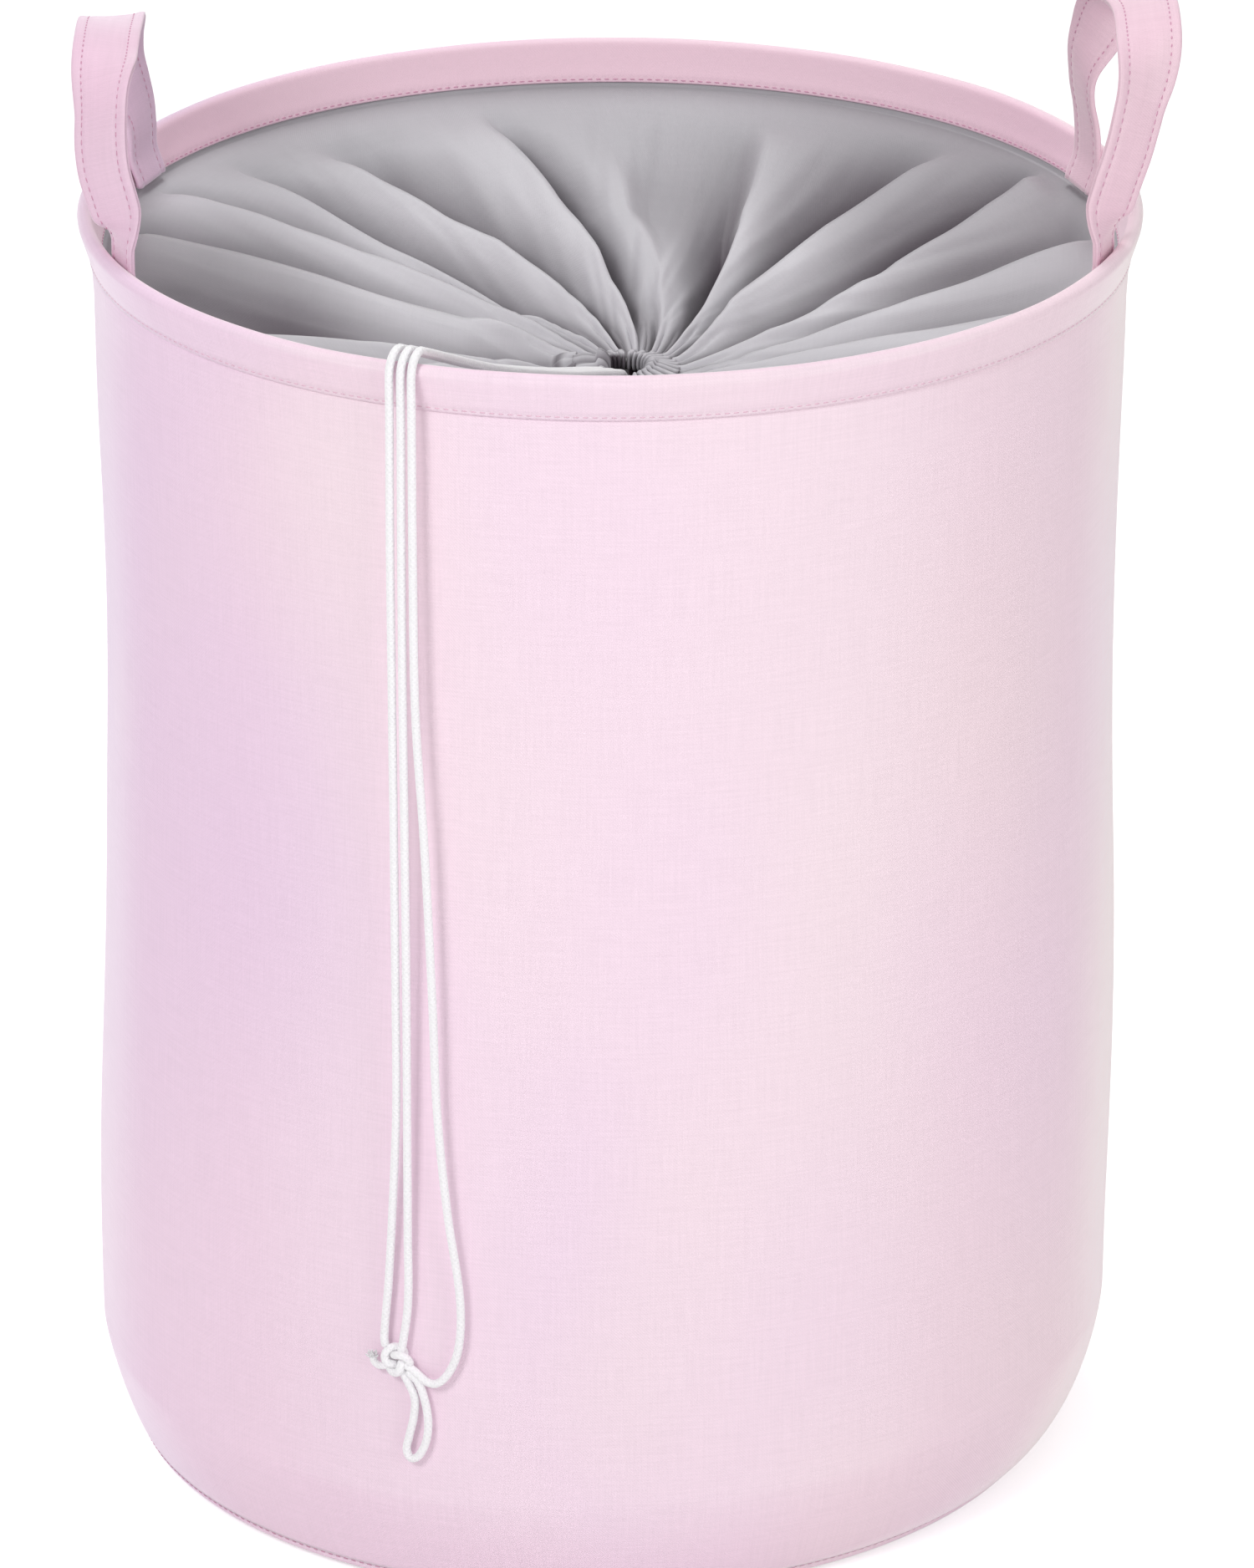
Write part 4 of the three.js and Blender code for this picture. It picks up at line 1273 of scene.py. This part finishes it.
def make_strap(side_name, side, **shape):
    """Makes one strap with its stitches; side is -1 for the left and 1 for the right."""
    sections = strap_sections(side, **shape)
    last = len(sections) - 1
    round_it = len(STRAP_SECTION)
    length = line_length([middle for middle, _, _ in sections])

    def limp(middle, w):
        return noise.noise(middle * 22 + Vector((side, 0, 0))) * 0.0006 * w

    def place(u, v):
        middle, width, face = sections[round(v * last)]
        w, t = STRAP_SECTION[round(u * round_it) % round_it]
        thin = t * STRAP_THICK / 2
        return middle + width * w * STRAP_WIDTH / 2 + face * (thin + limp(middle, w))

    strap_mesh = cut_cloth(round_it, last, place, (STRAP_WIDTH * 2, length), joined=True)
    open_edges = [edge for edge in strap_mesh.edges if edge.is_boundary]
    bmesh.ops.holes_fill(strap_mesh, edges=open_edges, sides=0)
    strap = finished(strap_mesh, side_name + "_strap_cloth", strap_cloth)
    places = []
    walked = [0.0]
    for (here, _, _), (ahead, _, _) in zip(sections, sections[1:]):
        walked.append(walked[-1] + (ahead - here).length)
    for i in range(int((length - 0.004) / STITCH)):
        goal = 0.003 + i * STITCH
        k = max(j for j in range(last) if walked[j] <= goal)
        share = (goal - walked[k]) / (walked[k + 1] - walked[k])
        middle, width, face = (sections[k][j].lerp(sections[k + 1][j], share) for j in range(3))
        along = (sections[k + 1][0] - sections[k][0]).normalized()
        for w in STITCH_ROWS:
            for way in (1, -1):
                surface_point = middle + width * w * STRAP_WIDTH / 2
                surface_point += face * (way * STITCH_HEIGHT * STRAP_THICK / 2 + limp(middle, w))
                places.append((surface_point, along, face * way))
    stitches = sew(side_name + "_strap_stitches", places, pink_thread)
    body = side_name + "_handle"
    for piece in (strap, stitches):
        hinge_bend(piece)
    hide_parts(body + "_strap", body + "_front_tab", body + "_rear_tab")
    print(side_name, "strap", round(length, 4), "m,", len(places), "stitches")


make_strap(
    "left", -1, foot_half=0.068, rise=0.061, lean=0.008, lean_share=0.6,
    legs_part=(0.0, 0.0), turn=(53, 0.0),
)
make_strap(
    "right", 1, foot_half=0.060, rise=0.073, lean=0.019, lean_share=1.3,
    legs_part=(0.009, 0.004), turn=(49, 0.022),
)

# %% [markdown]
# ## Gathered cover
#
# The cover is a thin skirt of cloth sewn inside the hem and drawn up on its cord, so its folds run
# in to the mouth, crowd together there and split into fine pleats. This is the hardest piece. A
# cloth simulation would gather it, but its folds would fall where they like. Here they must lie as
# they do on the real one, so each crest has its own line, read from the photograph: the direction
# it has at four distances from the mouth. The cloth is laid between neighbouring crests: it sinks
# to a valley and climbs steeply to the next crest, which leans over the valley behind it.

# %% Crests of the folds
CREST_RADII = (0.186, 0.112, 0.060, 0.021)
CRESTS = [
    # direction in degrees at each of the radii, depth, and where the fold starts
    ((3, -3, -10, -26), 0.9, 0.192),
    ((27, 18, 8, 0), 1.0, 0.200),
    ((42, 44, 42, 26), 1.0, 0.178),
    ((70, 64, 56, 45), 1.0, 0.172),
    ((92, 88, 77, 62), 0.7, 0.150),
    ((108, 102, 94, 80), 1.0, 0.176),
    ((134, 127, 115, 99), 1.0, 0.172),
    ((146, 143, 139, 116), 0.8, 0.178),
    ((160, 152, 146, 132), 0.8, 0.192),
    ((176, 171, 170, 152), 1.0, 0.194),
    ((212, 211, 206, 190), 1.0, 0.186),
    ((228, 227, 224, 212), 1.0, 0.180),
    ((247, 246, 243, 232), 0.6, 0.176),
    ((270, 269, 267, 258), 1.0, 0.178),
    ((293, 292, 290, 283), 1.0, 0.176),
    ((315, 314, 312, 306), 1.0, 0.180),
    ((338, 336, 332, 325), 0.9, 0.182),
]
FOLDS = len(CRESTS)
print("folds", FOLDS)

# %% [markdown]
# Seen from the front, every fold overlaps the next one behind it: a crisp crest, straight behind it
# a deep valley, and from there a long shoulder that rises, first steeply and then gently, to the
# next crest. So the shoulders of the left half look left, and those of the right half look right.
# One rule says how far a point has sunk between its two crests; the depth of a fold follows its
# width, is fullest halfway in, and is less where it starts and where the folds crowd together. Left
# of the mouth the cloth doubles up in a rounded lump, and in front the cord presses its edge down.

# %% Shape of the cover
COVER_OUTER, COVER_TOP = HEM_INNER_FOOT - 0.0015, HEM_FOOT - 0.0023
COVER_INNER = 0.0196
VALLEY = 0.18


def crest_direction(index, radius):
    """The direction of a crest at a distance from the mouth, in degrees."""
    turns, index = divmod(index, FOLDS)
    row = CRESTS[index][0]
    if radius >= CREST_RADII[0]:
        return row[0] + 360 * turns
    for k in range(3):
        if radius >= CREST_RADII[k + 1]:
            share = (CREST_RADII[k] - radius) / (CREST_RADII[k] - CREST_RADII[k + 1])
            return between(row[k], row[k + 1], share) + 360 * turns
    return row[3] + 360 * turns


def fold_strength(index, radius):
    """How far a crest has risen at this distance: 0 where it starts, 1 once it is full."""
    _, depth, start = CRESTS[index % FOLDS]
    risen = 0.55 * smoothly((start + 0.006 - radius) / 0.03)
    risen += 0.45 * smoothly((start - radius) / 0.08)
    return depth * risen * smoothly((COVER_OUTER - radius) / 0.014)


def sunk_from_crest(share):
    """How far the cloth has sunk at a share of the way from the nearer crest to the one behind."""
    if share < VALLEY:
        return math.sin(math.pi / 2 * share / VALLEY)
    return ((1 - share) / (1 - VALLEY)) ** 1.7


def fold_at(fold_place, radius):
    """Share between the crests, their directions in degrees, how far sunk and how strong."""
    index = math.floor(fold_place)
    share = fold_place - index
    low, high = crest_direction(index, radius), crest_direction(index + 1, radius)
    middle = ((low + high) / 2) % 360
    leftwards = smoothly((middle - 66) / 24) * (1 - smoothly((middle - 246) / 24))
    sunk = between(sunk_from_crest(share), sunk_from_crest(1 - share), leftwards)
    strength = between(fold_strength(index, radius), fold_strength(index + 1, radius), share)
    return share, low, high, sunk, strength


def lobe(azimuth, at_degrees, wide):
    """1 in one direction from the mouth, and less the further from it."""
    off = math.remainder(azimuth - math.radians(at_degrees), 2 * math.pi)
    return math.exp(-((off / math.radians(wide)) ** 2))


def cord_dip(azimuth):
    """How far the cord presses the mouth's edge down where it crosses it."""
    return 0.0042 * lobe(azimuth, 246, 34)


def lump(azimuth, radius):
    """The rounded lump left of the mouth, where the cloth doubles up: 1 on it, 0 round it."""
    off = math.remainder(azimuth - math.radians(174), 2 * math.pi) * radius
    return math.exp(-(((off / 0.0066) ** 2 + ((radius - 0.0205) / 0.0066) ** 2) ** 2))


def cover_point(fold_place, radius):
    """A point of the cover; fold_place counts crests round it, and radius is from the mouth."""
    share, low, high, sunk, strength = fold_at(fold_place, radius)
    azimuth = math.radians(between(low, high, share))
    gap = math.radians(high - low) * radius
    depth = min(0.028, gap * between(0.35, 0.95, smoothly((radius - 0.018) / 0.03))) * strength
    inwards = (COVER_OUTER - radius) / (COVER_OUTER - COVER_INNER)
    height = between(COVER_TOP, MOUTH.z + 0.0004, min(1.0, inwards / 0.985))
    height -= 0.003 * math.sin(math.pi * min(1.0, inwards))
    height += depth * (0.28 - sunk)
    finer = smoothly((0.085 - radius) / 0.05)
    height += finer * min(0.0036, 0.15 * gap) * math.cos(4 * math.pi * share) * sunk
    pleats = smoothly((0.055 - radius) / 0.03)
    height += pleats * 0.0022 * (abs(math.cos(3 * math.pi * share)) - 0.5)
    way = way_out(azimuth)
    ripple = noise.noise(way * 11 + Vector((0, 0, radius * 16)))
    ripple += 0.5 * noise.noise(way * 27 + Vector((4, 0, radius * 22)))
    open_part = smoothly((COVER_OUTER - radius) / 0.03)
    height += ripple * 0.0013 * open_part * smoothly((radius - 0.015) / 0.03)
    along_folds = noise.noise(way * 26 + Vector((9, 2, radius * 9)))
    height += along_folds * 0.0009 * open_part * smoothly((radius - 0.03) / 0.06)
    height += 0.0046 * lump(azimuth, radius)
    height -= cord_dip(azimuth) * smoothly((0.05 - radius) / 0.03)
    centre = MOUTH * Vector((1, 1, 0)) * min(1.0, inwards)
    return centre + way * radius + Vector((0, 0, height))


cover_radii = [COVER_OUTER]
while cover_radii[-1] > COVER_INNER:
    step = between(0.0009, 0.0026, smoothly((cover_radii[-1] - 0.02) / 0.06))
    cover_radii.append(max(COVER_INNER, cover_radii[-1] - step))
print("cover rings", len(cover_radii))

# %% [markdown]
# Above the shoulder the cloth turns up between the plies of the hem, where it is sewn. Those rows
# come first, then the folds. Every fold has the same number of columns, and one lies on each crest,
# so the crests stay crisp all the way in. The second map holds the painted shade, from how deep
# each point lies and from painted shadows, and the painted highlight near a crest.

# %% Make the cover
COLUMNS = 24
COVER_WIDTH, COVER_THICK = 0.19, 0.0007
collar = [(HEM_INNER_FOOT + 0.0052, HEM_FOOT + 0.006), (HEM_INNER_FOOT + 0.0019, HEM_FOOT),
          (HEM_INNER_FOOT + 0.0012, HEM_FOOT - 0.0012), (HEM_INNER_FOOT, HEM_FOOT - 0.002)]
cover_rows = len(collar) + len(cover_radii) - 1


def on_cover(u, v):
    """Where the cover's point lies: on the collar or on the folds."""
    row = round(v * cover_rows)
    fold_place = u * FOLDS
    if row < len(collar):
        radius, height = collar[row]
        index = math.floor(fold_place)
        low, high = crest_direction(index, COVER_OUTER), crest_direction(index + 1, COVER_OUTER)
        azimuth = math.radians(between(low, high, fold_place - index))
        return Vector((radius * math.cos(azimuth), radius * math.sin(azimuth), height))
    return cover_point(fold_place, cover_radii[row - len(collar)])


def painted_fold_shading(fold_place, radius):
    """Painted shade of a point of the cover, and its painted highlight near a crest."""
    share, low, high, sunk, strength = fold_at(fold_place, radius)
    azimuth = math.radians(between(low, high, share))
    # Painted shadows: on the right, which faces away from the key light, and at the front left,
    # under the rim.
    painted_shadow = 0.36 * lobe(azimuth, 34, 46) * smoothly((radius - 0.06) / 0.08)
    painted_shadow += 0.45 * lobe(azimuth, 188, 26) * smoothly((radius - 0.07) / 0.06)
    painted_shading = 1 - (1 - sunk * strength) * (1 - painted_shadow)
    on_lump = lump(azimuth, radius)
    # Round the lump a dark ring is painted as shade, and on it a painted highlight.
    painted_shading = max(painted_shading * (1 - on_lump), 2.2 * on_lump * (1 - on_lump))
    return painted_shading, max(0.7 * on_lump, strength * (1 - sunk) ** 1.6)


cover_mesh = cut_cloth(
    FOLDS * COLUMNS, cover_rows, on_cover, (ROUND, COVER_WIDTH), joined=True
)
sheet_map = cover_mesh.loops.layers.uv["cloth"]
# The second map holds each point's painted shade and painted highlight.
painted_shading_map = cover_mesh.loops.layers.uv.new("fold")
for face in cover_mesh.faces:
    for corner in face.loops:
        row = round(corner[sheet_map].uv.y / COVER_WIDTH * cover_rows) - len(collar)
        if row >= 0:
            fold_place = corner[sheet_map].uv.x / ROUND * FOLDS
            corner[painted_shading_map].uv = painted_fold_shading(fold_place, cover_radii[row])
bmesh.ops.reverse_faces(cover_mesh, faces=cover_mesh.faces)
cover = finished(cover_mesh, "gathered_cover", grey_cover, closed=False)
thicken(cover, COVER_THICK, 0.0)
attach(cover, "rim")
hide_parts("cover_cloth")
print("cover faces", len(cover.data.polygons))

# %% [markdown]
# ## Drawstring channel
#
# The cover's inner edge is folded over the drawstring and sewn, and it bunches up on the cord. In
# section it is a hairpin with a round head. It is drawn round the mouth in tight pleats, and stands
# up in a small rounded lobe on each side, where the bunched cloth has nowhere else to go. Lump and
# dip are the cover's own, so the two stay together. The cord in it is a ring inside the hairpin.

# %% Channel
CHANNEL_RADIUS = 0.0115
# the hairpin's two flat sides: how far out they reach, half their gap, and their share of the cloth
FLANK, HALF_GAP, FLANK_SHARE = 0.009, 0.0025, 0.24
CHANNEL_LENGTH, CHANNEL_WIDTH, CHANNEL_THICK = 0.42, 0.03, 0.0005
PLEATS, PLEAT_COLUMNS, CHANNEL_ROWS = 30, 9, 30


def channel_pleat(azimuth):
    """How much the channel bunches up in this direction, and its pleats: 1 on one, -1 between."""
    bunch = lobe(azimuth, 174, 20) + 0.4 * lobe(azimuth, 350, 22)
    wander = 0.35 * noise.noise(way_out(azimuth) * 3)
    return bunch, math.cos(PLEATS * azimuth + 4 * wander) * (1 - 0.75 * min(1.0, bunch))


def on_channel(u, v):
    """Where the channel's point lies: out along its upper side, round the head and back below."""
    azimuth = 2 * math.pi * u
    bunch, pleat = channel_pleat(azimuth)
    tube = HALF_GAP + 0.0028 * bunch + 0.0009 * pleat
    if v < FLANK_SHARE:
        share = 1 - v / FLANK_SHARE
        section = (CHANNEL_RADIUS + FLANK * share, HALF_GAP - 0.0012 * share)
    elif v > 1 - FLANK_SHARE:
        share = (v - 1 + FLANK_SHARE) / FLANK_SHARE
        section = (CHANNEL_RADIUS + FLANK * share, -HALF_GAP + 0.0012 * share)
    else:
        angle = math.pi / 2 + math.pi * (v - FLANK_SHARE) / (1 - 2 * FLANK_SHARE)
        section = (CHANNEL_RADIUS + tube * math.cos(angle), tube * math.sin(angle))
    out, up = section
    near = between(0.45, 1, smoothly(1 - (out - CHANNEL_RADIUS) / FLANK))
    follows = 1 if v < 0.5 else 0.3
    up += (0.0011 * pleat + 0.0036 * bunch) * near * follows
    up += 0.0024 * lump(azimuth, out) * follows
    up -= cord_dip(azimuth)
    return MOUTH + way_out(azimuth) * out + Vector((0, 0, up))


channel_size = (CHANNEL_LENGTH, CHANNEL_WIDTH)
channel_mesh = cut_cloth(
    PLEATS * PLEAT_COLUMNS, CHANNEL_ROWS, on_channel, channel_size, joined=True
)
sheet_map = channel_mesh.loops.layers.uv["cloth"]
painted_shading_map = channel_mesh.loops.layers.uv.new("fold")
for face in channel_mesh.faces:
    for corner in face.loops:
        azimuth = 2 * math.pi * corner[sheet_map].uv.x / CHANNEL_LENGTH
        bunch, pleat = channel_pleat(azimuth)
        # Painted shade between the pleats and on the channel's inner wall, and a painted highlight
        # on each pleat.
        inside = smoothly((corner[sheet_map].uv.y / CHANNEL_WIDTH - 0.27) / 0.15)
        painted_shade = 0.3 * lobe(azimuth, 132, 22) + inside * (0.15 + 0.6 * lobe(azimuth, 116, 34))
        corner[painted_shading_map].uv = (0.3 - 0.3 * pleat + painted_shade, (0.4 + 0.4 * pleat) * (1 - inside))
channel = thicken(finished(channel_mesh, "gathered_channel", grey_cover), CHANNEL_THICK, 0.0)
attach(channel, "rim")
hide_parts("cover_channel")

RING_POINTS, RING_STEP = 24, 0.0012
ring_points = []
for i in range(RING_POINTS):
    azimuth = 2 * math.pi * i / RING_POINTS
    dip = Vector((0, 0, cord_dip(azimuth)))
    ring_points.append(MOUTH + way_out(azimuth) * CHANNEL_RADIUS - dip)
ring_line = smooth_line(ring_points, RING_STEP, closed=True)
ring_roll = roll_cord(ring_line, CORD / 2 * 0.97, closed=True)
ring_cord = finished(ring_roll, "channel_cord_braid", white_braid)
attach(ring_cord, "rim")
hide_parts("channel_cord")
print("channel faces", len(channel.data.polygons))

# %% [markdown]
# ## Floor and light
#
# The hamper stands on white, in even studio light. A large soft light from the front left gives the
# folds their shape, a weaker one from the right and one above keep the shadows open, a faint one
# from behind brightens the left edge, and the world fills in the rest. The background is made white
# only for the eye and for reflections, through the Light Path node, so that it adds no light of its
# own.

# %% Floor
FLOOR_SIZE, FLOOR_DROP = 6.0, 0.0006


def seen_directly(tree):
    """1 for the eye's own rays and for reflections, and 0 for rays that carry light."""
    rays = add_node(tree, "LightPath").outputs
    mirrored = sum_of(tree, "MAXIMUM", rays["Is Glossy Ray"], rays["Is Transmission Ray"])
    return sum_of(tree, "MAXIMUM", rays["Is Camera Ray"], mirrored)


floor_mesh = bmesh.new()
bmesh.ops.create_grid(floor_mesh, x_segments=2, y_segments=2, size=FLOOR_SIZE)
bmesh.ops.translate(floor_mesh, verts=floor_mesh.verts, vec=(0, 0, -FLOOR_DROP))
white_floor, tree, surface = new_finish("white_floor")
seen = seen_directly(tree)
grain = add_node(tree, "TexNoise", {"Scale": 30.0, "Detail": 2.0})
tone = blended(tree, grain.outputs[0], (0.86, 0.86, 0.86, 1), (0.88, 0.88, 0.88, 1))
lift = blended(tree, seen, (0, 0, 0, 1), (0.5, 0.5, 0.5, 1))
fill(tree, surface, {
    "Base Color": tone, "Emission Color": lift, "Emission Strength": 1.0, "Roughness": 0.9,
})
floor = finished(floor_mesh, "floor", white_floor, closed=False)
print("floor made")


# %% [markdown]
# Each lamp is placed by where it stands and what it looks at.

# %% Lamps and world
def soft_lamp(name, spot, aim, size, watts):
    """A round lamp at spot that shines at aim."""
    lamp = bpy.data.objects.new(name, bpy.data.lights.new(name, "AREA"))
    lamp.data.shape = "DISK"
    lamp.data.size = size
    lamp.data.energy = watts
    lamp.location = spot
    lamp.rotation_euler = (Vector(aim) - Vector(spot)).to_track_quat("-Z", "Y").to_euler()
    bpy.context.scene.collection.objects.link(lamp)


soft_lamp("key_lamp", (-1.2, -2.1, 2.0), (0, 0, 0.4), 0.9, 29)
soft_lamp("fill_lamp", (1.8, -1.8, 1.1), (0, 0, 0.35), 1.8, 16)
soft_lamp("top_lamp", (-0.1, 1.0, 2.2), (0, 0, 0.45), 1.0, 15)
soft_lamp("edge_lamp", (-1.7, 0.8, 0.7), (0, 0, 0.3), 0.8, 2.2)

world = bpy.data.worlds.new("studio")
world.use_nodes = True
bpy.context.scene.world = world
tree = world.node_tree
strength = stretched(tree, seen_directly(tree), 0.0, 1.0, 0.45, 1.0)
white = (1.0, 1.0, 1.0, 1.0)
fill(tree, tree.nodes["Background"], {"Color": white, "Strength": strength})
bpy.context.scene.view_settings.view_transform = "Standard"
